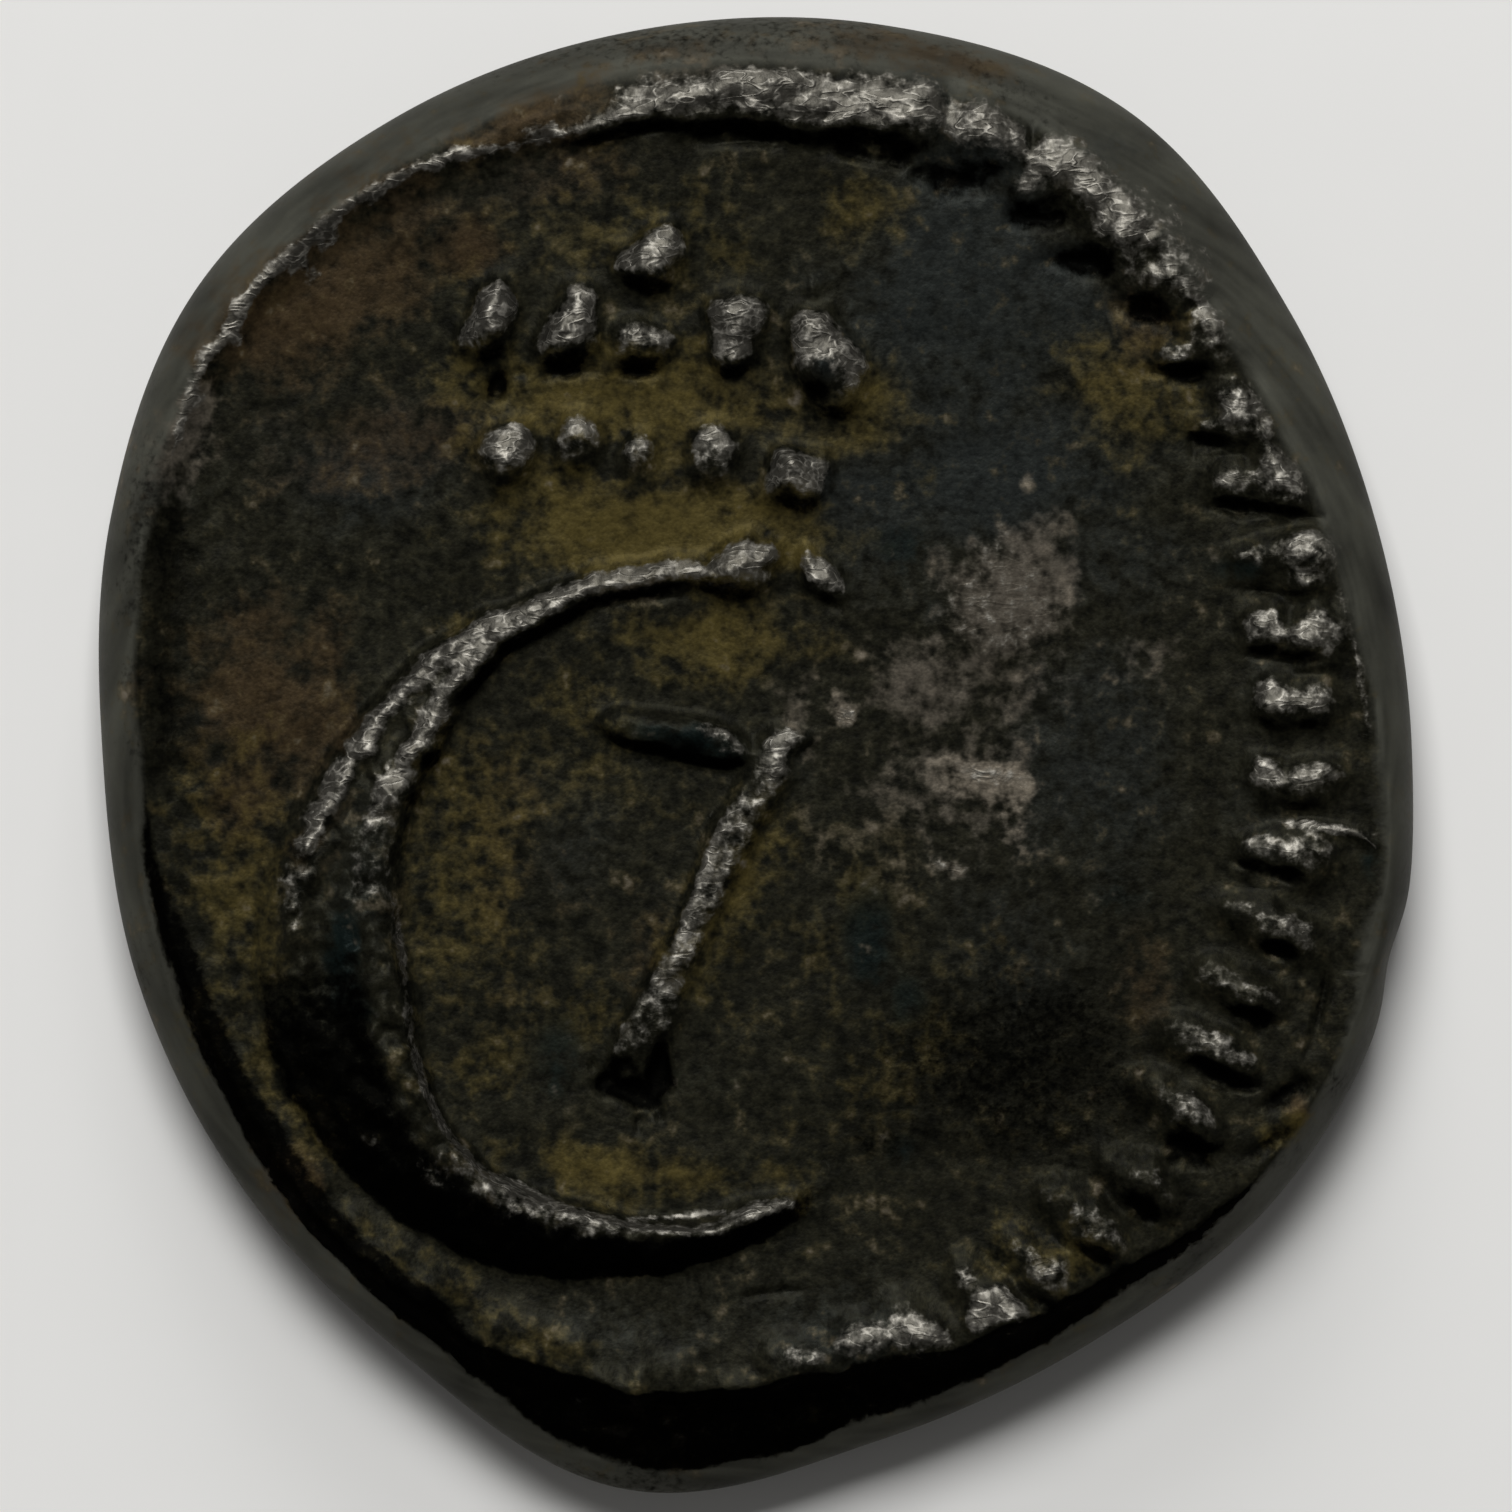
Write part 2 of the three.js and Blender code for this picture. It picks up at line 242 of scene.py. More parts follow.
@dataclass(frozen=True)
class Stroke:
    """A raised stroke: column, row and width of its middle line at each station."""

    stations: tuple[Row, ...]
    relief: float
    crest: float = 0.0
    squareness: float = 2.4
    seed: int = 20
    rough: float = 0.14

    def line(self, count: int = 160) -> Field:
        """The smooth line through the stations, as rows of place and width."""
        rows = np.array([(*spot(c, r), w / HALF_ROWS) for c, r, w in self.stations])
        rows = np.vstack([2 * rows[0] - rows[1], rows, 2 * rows[-1] - rows[-2]])
        turn = np.linspace(0, len(self.stations) - 1 - 1e-9, count)
        first = np.floor(turn).astype(int)
        around = tuple(rows[first + step] for step in range(4))
        return smooth_between(around, (turn - first)[:, None])

    def height(self, u: Field, v: Field) -> Field:
        """Height of the stroke over the field, in millimetres."""
        line = self.line()
        margin = line[:, 2].max()
        near = (u > line[:, 0].min() - margin) & (u < line[:, 0].max() + margin)
        near &= (v > line[:, 1].min() - margin) & (v < line[:, 1].max() + margin)
        total = np.zeros_like(u)
        total[near] = self._rise(u[near], v[near], line)
        return total

    def _rise(self, u: Field, v: Field, line: Field) -> Field:
        """Height at places beside the line, from the nearest of its points."""
        best, index = np.full(u.shape, np.inf), np.zeros(u.shape, int)
        for place, (column, row, _) in enumerate(line):
            distance = (u - column) ** 2 + (v - row) ** 2
            closer = distance < best
            best[closer], index[closer] = distance[closer], place
        last = len(line) - 1
        ahead = line[np.minimum(index + 1, last)] - line[np.maximum(index - 1, 0)]
        turn = ahead[:, 0] * (v - line[index, 1]) - ahead[:, 1] * (u - line[index, 0])
        half_width = np.maximum(line[index, 2] / 2, 1e-4)
        side = np.sign(turn) * np.sqrt(best) / half_width
        side = side * (1 + self.rough * grain(u, v, 0.03, self.seed, 3)) - self.crest
        flank = np.where(side > 0, 1 - self.crest, 1 + self.crest)
        reach = np.clip(np.abs(side) / flank, 0, 1)
        dome = np.clip(1 - reach**self.squareness, 0, 1) ** 0.7
        return self.relief * dome * np.sqrt(np.clip(line[index, 2] / line[:, 2].max(), 0, 1))


@dataclass(frozen=True)
class Crescent:
    """The open crescent: a steep inner wall, a crest beside it and a long fall outwards."""

    outer: HandCutCurve = HandCutCurve(
        (-0.158, -0.206),
        (
            *(0.45, 0.46, 0.47, 0.482, 0.494, 0.486, 0.468, 0.451, 0.449, 0.452, 0.465, 0.486),
            *(0.511, 0.526, 0.532, 0.534, 0.527, 0.515, 0.499, 0.487, 0.467, 0.458, 0.45, 0.45),
        ),
    )
    inner: HandCutCurve = HandCutCurve(
        (-0.158, -0.206),
        (
            *(0.45, 0.452, 0.455, 0.458, 0.458, 0.444, 0.418, 0.398, 0.375, 0.351, 0.33, 0.325),
            *(0.322, 0.322, 0.348, 0.383, 0.407, 0.412, 0.425, 0.439, 0.438, 0.444, 0.45, 0.45),
        ),
    )
    relief: float = 0.38
    stand: tuple[Row, ...] = (
        *((0, 0), (66, 0), (80, 0.42), (110, 0.6), (150, 0.85), (200, 1.0), (250, 0.95)),
        *((275, 0.75), (290, 0.55), (300, 0.0)),
    )
    crest: tuple[Row, ...] = (
        *((60, 0.5), (110, 0.45), (150, 0.26), (185, 0.2), (205, 0.12), (230, 0.08), (300, 0.1)),
    )
    # A span is a first and a last angle in degrees, and how far it fades out beyond them.
    painted_shade_span: Row = (204, 292, 26)
    keen_span: Row = (188, 292, 10)
    keen_inset: float = 5.0
    keen_width: float = 4.0
    old_strike_span: Row = (112, 186, 14)
    groove_span: Row = (135, 205, 16)
    strike_share: float = 0.2
    ledge_span: Row = (188, 216, 6)
    ledge_share: float = 0.3

    def place(self, u: Field, v: Field) -> tuple[Field, Field]:
        """Angle of places in degrees, and share of the crescent's width crossed from inside."""
        angle, distance = self.outer.polar(u, v)
        inner, outer = self.inner.radius(angle), self.outer.radius(angle)
        width = np.maximum(outer - inner, 0.004)
        reach = (distance + 0.005 * grain(u, v, 0.035, 11, 3) - inner) / width
        return np.mod(np.degrees(angle), 360.0), reach

    def painted_shade_fall(self, u: Field, v: Field) -> Field:
        """Where the crescent's long lower fall, which faces away from the light, is painted black
        as shade.
        """
        degrees, reach = self.place(u, v)
        across = smooth_step(reach, 0.14, 0.42) * smooth_step(reach, 1.06, 0.98)
        return across * between(degrees, *self.painted_shade_span)

    def painted_highlight_edge(self, u: Field, v: Field) -> Field:
        """A painted highlight: the thin bright line along the lower part's inner edge, whose wall
        faces the light.
        """
        angle, distance = self.outer.polar(u, v)
        away = (distance - self.inner.radius(angle)) * HALF_ROWS
        line = np.exp(-(((away - self.keen_inset) / self.keen_width) ** 2))
        line *= 0.85 + 0.4 * grain(u, v, 0.03, 15, 2)
        return line * between(np.degrees(angle), *self.keen_span)

    def height(self, u: Field, v: Field) -> Field:
        """Height of the crescent over the field, in millimetres."""
        degrees, reach = self.place(u, v)
        crest = round_clock(degrees, self.crest)
        rise = np.clip(1 - np.clip((crest - reach) / crest, 0, 1) ** 2.4, 0, 1) ** 0.8
        fall = np.clip(1 - np.clip((reach - crest) / (1 - crest), 0, 1) ** 1.7, 0, 1) ** 0.85
        body = np.where(reach < crest, rise, fall)
        old_strike = between(degrees, *self.old_strike_span) * self.strike_share
        body += old_strike * np.exp(-(((reach - 0.8) / 0.14) ** 2))
        groove = between(degrees, *self.groove_span) * self.strike_share
        body -= groove * np.exp(-(((reach - 0.52) / 0.15) ** 2))
        ledge = self.ledge_share * between(degrees, *self.ledge_span)
        ledge *= smooth_step(reach, 1.04, 0.97)
        body = np.maximum(body, ledge * smooth_step(reach, 0, 0.3))
        inside = smooth_step(reach, -0.02, 0.06) * smooth_step(reach, 1.04, 0.98)
        uneven = 1 + 0.07 * grain(u, v, 0.022, 12, 2)
        return self.relief * round_clock(degrees, self.stand) * body * inside * uneven


@dataclass(frozen=True)
class Flan:
    """The bare hammered flan: its outline, its two struck faces and the rounded edge."""

    outline: HandCutCurve = HandCutCurve(
        (0.0, 0.0),
        (
            *(0.887, 0.894, 0.938, 1.004, 1.0, 0.991, 0.989, 0.985, 0.93),
            *(0.885, 0.892, 0.911, 0.945, 1.012, 0.945, 0.917, 0.926, 0.915),
        ),
    )
    struck: HandCutCurve = HandCutCurve(
        (-0.07, 0.045),
        (
            *(0.913, 0.88, 0.896, 0.923, 0.89, 0.842, 0.85, 0.855, 0.805),
            *(0.758, 0.774, 0.808, 0.873, 0.907, 0.899, 0.92, 0.963, 0.963),
        ),
    )
    reverse_edge: float = 0.84
    nick_at: float = -18.0
    nick_wide: float = 4.0
    nick_deep: float = 0.013
    # The drop outside the struck face, in millimetres, and more of it along the lower edge.
    step_all_round: float = 0.05
    step_below: float = 0.2
    step_at: tuple[float, float] = (0.995, 1.035)
    edge_power: float = 1.9
    edge_power_below: float = 0.5

    def edge(self, angle: Field) -> Field:
        """Distance of the outline from the coin's middle, in half lengths."""
        away = np.mod(np.degrees(angle) - self.nick_at + 180.0, 360.0) - 180.0
        return self.outline.radius(angle) - self.nick_deep * np.exp(-((away / self.nick_wide) ** 2))

    def struck_share(self, u: Field, v: Field) -> Field:
        """0 in the middle of the obverse's struck face and 1 on its ragged edge."""
        return self.struck.share(u, v) * (1 + 0.008 * grain(u, v, 0.07, 5, 3))

    def shoulder(self, u: Field, v: Field, start: Field, share: Field) -> Field:
        """Carries the obverse down over its edge to the flan's widest line.

        Args:
            u: Places along X, in half lengths.
            v: Places along Y, in half lengths.
            start: Height that the struck face has, or would have, at each place.
            share: How far out each place is, from struck_share.

        Returns:
            The height at each place, in millimetres.
        """
        angle, distance = self.outline.polar(u, v)
        edge = self.edge(angle)
        whole = self.struck.share(edge * np.cos(angle), edge * np.sin(angle))
        out = np.clip((self.struck.share(u, v) - 1) / np.maximum(whole - 1, 1e-3), 0, 1)
        out = np.where(distance >= edge - 1e-6, 1.0, out)
        low = np.clip(-np.sin(angle), 0, 1)
        step = (self.step_all_round + self.step_below * low) * smooth_step(share, *self.step_at)
        power = self.edge_power - self.edge_power_below * low
        fall = np.sqrt(np.clip(1 - out**power, 0, 1))
        return EQUATOR + (start - step - EQUATOR) * fall


@dataclass(frozen=True)
class Obverse:
    """The struck face that lies up: crescent, bar, stem, pellets, toothed border and rim bead."""

    flan: Flan = Flan()
    crescent: Crescent = Crescent()
    strokes: tuple[Stroke, ...] = (
        Stroke(
            (
                *((606, 722, 18), (620, 725, 36), (660, 733, 46), (700, 742, 46), (735, 751, 34)),
                (754, 757, 12),
            ),
            *(0.19, 0.1, 3.2, 21),
        ),
        Stroke(
            (
                *((812, 738, 8), (800, 740, 22), (780, 744, 38), (770, 768, 44), (754, 800, 44)),
                *((732, 838, 44), (711, 885, 42), (692, 930, 38), (674, 968, 40), (655, 1010, 50)),
                *((641, 1038, 54), (630, 1056, 42)),
            ),
            *(0.14, -0.1, 5.0, 22),
        ),
        Stroke(
            (
                *((900, 118, 44), (866, 114, 56), (820, 106, 66), (770, 101, 70), (720, 103, 62)),
                *((680, 109, 50), (640, 118, 38), (590, 133, 24), (560, 140, 14)),
            ),
            *(0.22, 0.45, 2.2, 23, 0.3),
        ),
        Stroke(
            (
                *((600, 126, 14), (530, 143, 20), (450, 163, 22), (370, 194, 22), (310, 237, 26)),
                *((262, 290, 28), (232, 334, 26), (205, 382, 24), (176, 440, 14)),
            ),
            *(0.05, 0.0, 2.0, 24, 0.5),
        ),
        Stroke(
            ((1286, 826, 4), (1304, 823, 7), (1332, 829, 7), (1356, 834, 6), (1374, 848, 4)),
            *(0.09, 0.0, 2.0, 25),
        ),
        Stroke(
            ((1334, 580, 4), (1344, 612, 7), (1354, 652, 7), (1361, 700, 6), (1366, 742, 4)),
            *(0.06, 0.0, 2.0, 26),
        ),
    )
    pellets: tuple[Row, ...] = (
        *((650, 264, 50, 48, 20, 0.95), (662, 246, 40, 36, 0, 0.75), (491, 325, 38, 72, -18, 1.0)),
        *((574, 326, 42, 66, -24, 0.9), (562, 342, 46, 40, 0, 0.75), (643, 347, 60, 42, 0, 0.6)),
        *((738, 322, 50, 46, 10, 0.9), (734, 350, 40, 44, 0, 0.85), (830, 380, 62, 64, 10, 0.9)),
        *((808, 342, 28, 58, 4, 0.8), (830, 350, 78, 42, -42, 0.85), (820, 368, 48, 50, 0, 0.9)),
        *((812, 292, 9, 22, 0, 0.25), (862, 348, 12, 12, 0, 0.25), (509, 454, 48, 50, 0, 0.8)),
        *((579, 442, 42, 48, 0, 0.6), (638, 456, 32, 44, 0, 0.5), (713, 456, 44, 50, 0, 0.55)),
        *((797, 480, 54, 54, 0, 0.95), (786, 464, 28, 28, 0, 1.0), (744, 570, 48, 50, 0, 1.0)),
        *((722, 574, 34, 34, 0, 0.85), (766, 556, 22, 24, 0, 0.8), (822, 580, 42, 30, -25, 0.6)),
        *((806, 562, 14, 24, 0, 0.4), (752, 1214, 62, 24, 12, 0.75), (776, 1206, 36, 18, 20, 0.6)),
    )
    teeth: tuple[Row, ...] = (
        *((912, 118, 56, 56, 0, 1.0), (978, 134, 60, 48, -10, 0.9), (1002, 148, 40, 38, 0, 0.8)),
        *((1048, 170, 46, 42, -30, 0.8), (1030, 188, 40, 34, 0, 0.55)),
        *((1072, 154, 60, 34, -38, 0.6), (1086, 186, 56, 44, -35, 0.75)),
        *((1112, 206, 66, 54, -40, 0.75), (1146, 248, 100, 84, -50, 0.9)),
        *((1126, 232, 60, 50, 0, 0.85), (1178, 286, 56, 48, -50, 0.85)),
        *((1190, 258, 56, 34, -52, 0.5), (1202, 332, 58, 44, -50, 0.85)),
        *((1172, 358, 36, 30, -20, 0.6), (1220, 358, 44, 34, -50, 0.5)),
        *((1238, 412, 64, 40, -60, 0.85), (1218, 432, 42, 30, -20, 0.6)),
        *((1258, 438, 36, 30, -50, 0.6), (1276, 484, 60, 40, -62, 0.9)),
        *((1234, 482, 44, 36, 0, 0.65), (1305, 564, 46, 54, 0, 0.9), (1264, 556, 58, 30, 0, 0.5)),
        *((1308, 638, 48, 48, 0, 0.85), (1266, 634, 44, 42, 0, 0.7), (1310, 702, 42, 42, 0, 0.75)),
        *((1271, 702, 44, 42, 0, 0.75), (1306, 782, 54, 40, 0, 0.8), (1264, 776, 36, 36, 0, 0.65)),
        *((1300, 856, 56, 42, 0, 0.85), (1260, 850, 46, 32, 10, 0.7)),
        *((1280, 932, 56, 38, -22, 0.85), (1242, 917, 52, 30, -15, 0.55)),
        *((1250, 996, 56, 38, -28, 0.85), (1216, 977, 48, 32, -25, 0.55)),
        *((1218, 1056, 56, 40, -32, 0.85), (1184, 1035, 48, 32, -30, 0.55)),
        *((1186, 1118, 56, 40, -42, 0.85), (1157, 1094, 48, 32, -40, 0.45)),
        *((1146, 1190, 52, 40, -40, 0.8), (1122, 1170, 44, 30, -40, 0.45)),
        *((1090, 1228, 58, 42, -48, 0.9), (1060, 1199, 48, 32, -45, 0.45)),
        *((1044, 1270, 52, 42, -40, 0.75), (1018, 1248, 42, 30, -45, 0.4)),
        *((994, 1308, 56, 44, -48, 0.8), (966, 1279, 48, 34, -45, 0.4)),
        *((924, 1342, 52, 42, -55, 0.6), (901, 1313, 50, 34, -55, 0.4)),
        *((862, 1340, 58, 46, 0, 0.5), (800, 1356, 60, 36, 0, 0.4)),
    )
    pits: tuple[Row, ...] = (
        *((499, 386, 22, 36, 0, 1.2), (630, 1092, 64, 26, -18, 1.4), (606, 1080, 44, 26, 25, 1.3)),
        *((656, 1076, 22, 66, -8, 1.3), (568, 372, 46, 16, 0, 0.9), (640, 374, 64, 14, 0, 1.0)),
        *((1082, 264, 66, 36, -12, 1.5), (1032, 220, 66, 24, -10, 1.2)),
        *((955, 182, 70, 30, -8, 1.1), (896, 160, 44, 26, 10, 0.9), (1144, 314, 58, 26, -15, 1.2)),
        *((1182, 375, 58, 20, -6, 1.2), (1208, 442, 56, 16, -6, 1.1)),
        *((1240, 510, 80, 14, -6, 0.9), (1296, 516, 56, 10, -8, 0.7)),
        *((1262, 592, 44, 12, -10, 0.7), (1262, 656, 36, 14, 0, 0.7), (1300, 660, 50, 10, 0, 0.6)),
        *((1250, 866, 40, 14, -20, 0.9), (1284, 876, 40, 12, -10, 0.8)),
        *((1282, 952, 44, 14, -15, 1.0), (1250, 1016, 60, 16, -12, 1.0)),
        *((1222, 1076, 66, 22, -24, 1.2), (1190, 1146, 44, 26, -35, 1.2)),
        *((1140, 1204, 40, 20, -30, 1.0), (1096, 1254, 52, 20, -28, 1.1)),
        *((1044, 1302, 60, 20, -20, 0.8), (760, 142, 90, 10, 2, 0.8)),
        *((846, 154, 60, 18, -14, 1.0), (668, 132, 80, 6, 6, 0.6), (640, 600, 120, 10, 6, 0.5)),
        *((826, 602, 30, 14, -25, 0.7), (1285, 1090, 50, 20, 35, 0.9)),
        *((1320, 1000, 14, 80, -10, 0.7), (1270, 1140, 60, 16, 30, 0.5)),
        (780, 1290, 70, 10, 6, 0.5),
    )
    pellet_relief: float = 0.26
    tooth_relief: float = 0.21
    tooth_swell: float = 1.1
    pit_depth: float = 0.07
    ceiling: float = 1.945
    ease: float = 0.02
    sway: float = 0.018
    lip: float = 0.1
    lip_span: Row = (88, 175, 12)
    lobe: float = 0.06
    lobe_span: Row = (225, 300, 10)
    field_grain: float = 0.008
    wire_height: float = 0.012
    pitting: float = 0.012
    pitted_span: Row = (160, 212, 14)

    def raised(self, u: Field, v: Field) -> Field:
        """Height of the struck forms over the field, in millimetres."""
        relief = self.crescent.height(u, v)
        for stroke in self.strokes:
            relief = np.maximum(relief, stroke.height(u, v))
        lumps = [(self.pellet_relief, Lump(*row)) for row in self.pellets]
        for column, row, width, height, *rest in self.teeth:
            width, height = width * self.tooth_swell, height * self.tooth_swell
            lumps.append((self.tooth_relief, Lump(column, row, width, height, *rest)))
        melted = relief**MELT
        for number, (full, lump) in enumerate(lumps):
            near = lump.near(u, v, 1.9)
            melted[near] += (full * lump.dome(u[near], v[near], 60 + 3 * number)) ** MELT
        relief = blurred(melted ** (1 / MELT), 1)
        return relief * (1 + 0.1 * grain(u, v, 0.03, 90, 2) + 0.1 * grain(u, v, 0.015, 94, 1))

    def sunk(self, u: Field, v: Field) -> Field:
        """Depth of the gaps and pits beside the struck forms, in millimetres."""
        depth = np.zeros_like(u)
        for number, row in enumerate(self.pits):
            pit = Lump(*row)
            near = pit.near(u, v, 2.0)
            reach = pit.reach(u[near], v[near], 400 + 3 * number, 0.45)
            depth[near] = np.maximum(depth[near], pit.share * smooth_step(reach, 1.4, 0.2))
        return self.pit_depth * depth

    def height(self, u: Field, v: Field) -> tuple[Field, Field, Field]:
        """Height over the resting plane, height of the struck forms, and share of the pits."""
        share = self.flan.struck_share(u, v)
        degrees = np.degrees(self.flan.outline.polar(u, v)[0])
        top = OBVERSE_FIELD + OBVERSE_DISH * np.minimum(share, 1) ** 2
        top += self.sway * grain(u, v, 0.3, 7, 2)
        top += self.lip * between(degrees, *self.lip_span) * smooth_step(share, 0.93, 1.0)
        lobes = np.clip(self.lobe + self.lobe * grain(u, v, 0.055, 9, 2), 0, 1)
        top += lobes * between(degrees, *self.lobe_span) * smooth_step(share, 0.9, 0.985)
        relief = self.raised(u, v)
        sunk = self.sunk(u, v)
        top += relief + self.rough(u, v, share, degrees, relief) - sunk
        top = self.ceiling - self.ease * np.log1p(np.exp((self.ceiling - top) / self.ease))
        return self.flan.shoulder(u, v, top, share), relief, sunk / self.pit_depth

    def rough(self, u: Field, v: Field, share: Field, degrees: Field, relief: Field) -> Field:
        """Fine unevenness: granular in the field, wiry on the worn tops, pitted down the left."""
        field = self.field_grain * grain(u, v, 0.05, 3, 3)
        wires = self.wire_height * (0.4 - np.abs(grain(u, v, 0.02, 33, 2)))
        pitted = smooth_step(share, 0.8, 0.9) * smooth_step(share, 1.02, 0.97)
        pitted *= between(degrees, *self.pitted_span)
        on_top = smooth_step(relief, 0.05, 0.14)
        smooth_edge = smooth_step(share, 1.12, 1.02)
        rough = field * (1 - on_top) + wires * on_top
        rough = rough + self.pitting * pitted * grain(u, v, 0.03, 14, 3)
        return rough * smooth_edge


@dataclass(frozen=True)
class Reverse:
    """The face that lies down: a worn boss, a ring of pellets and a ring of longer ones."""

    flan: Flan = Flan()
    boss: float = 0.17
    rosette: tuple[float, int, float, float] = (0.34, 8, 0.1, 0.1)
    teeth: tuple[float, int, float, float] = (0.62, 18, 0.14, 0.075)
    wear: float = 0.02

    def ring(self, u: Field, v: Field, sizes: tuple[float, int, float, float]) -> Field:
        """Share of the full relief at each place of an even ring of pellets."""
        radius, count, length, width = sizes
        angle, distance = np.arctan2(v, u), np.hypot(u, v)
        pitch = 2 * np.pi / count
        away = (np.mod(angle / pitch + 0.5, 1.0) - 0.5) * pitch
        along = (distance * np.cos(away) - radius) / (length / 2)
        across = distance * np.sin(away) / (width / 2)
        reach = np.hypot(along, across) * (1 + 0.12 * grain(u, v, 0.04, 71, 2))
        return np.clip(1 - np.clip(reach, 0, 1) ** 2.2, 0, 1) ** 0.75

    def height(self, u: Field, v: Field) -> tuple[Field, Field, Field]:
        """Height over the resting plane, height of the relief that hangs from it, and no pits."""
        angle, distance = self.flan.outline.polar(u, v)
        edge = self.flan.edge(angle)
        share = distance / (self.reverse_span(edge))
        face = REVERSE_FIELD + REVERSE_DOME * np.minimum(share, 1) ** 2
        reach = distance / self.boss * (1 + 0.06 * grain(u, v, 0.06, 72, 2))
        relief = smooth_step(reach, 1.15, 0.85)
        for sizes in (self.rosette, self.teeth):
            relief = np.maximum(relief, self.ring(u, v, sizes))
        hanging = (face + 0.06) * relief
        uneven = 0.012 * grain(u, v, 0.035, 73, 3) + 0.02 * grain(u, v, 0.25, 76, 2)
        low = face - hanging - uneven * (1 - relief)
        low = np.maximum(low, self.wear * (1 + grain(u, v, 0.03, 78, 3)) * relief / 2)
        out = np.clip((share - 1) / (edge / self.reverse_span(edge) - 1), 0, 1)
        fall = np.sqrt(np.clip(1 - out**2, 0, 1))
        return np.maximum(EQUATOR + (low - EQUATOR) * fall, 0.0), hanging, np.zeros_like(u)

    def reverse_span(self, edge: Field) -> Field:
        """Distance of the reverse's struck edge from the middle."""
        return self.flan.reverse_edge * edge


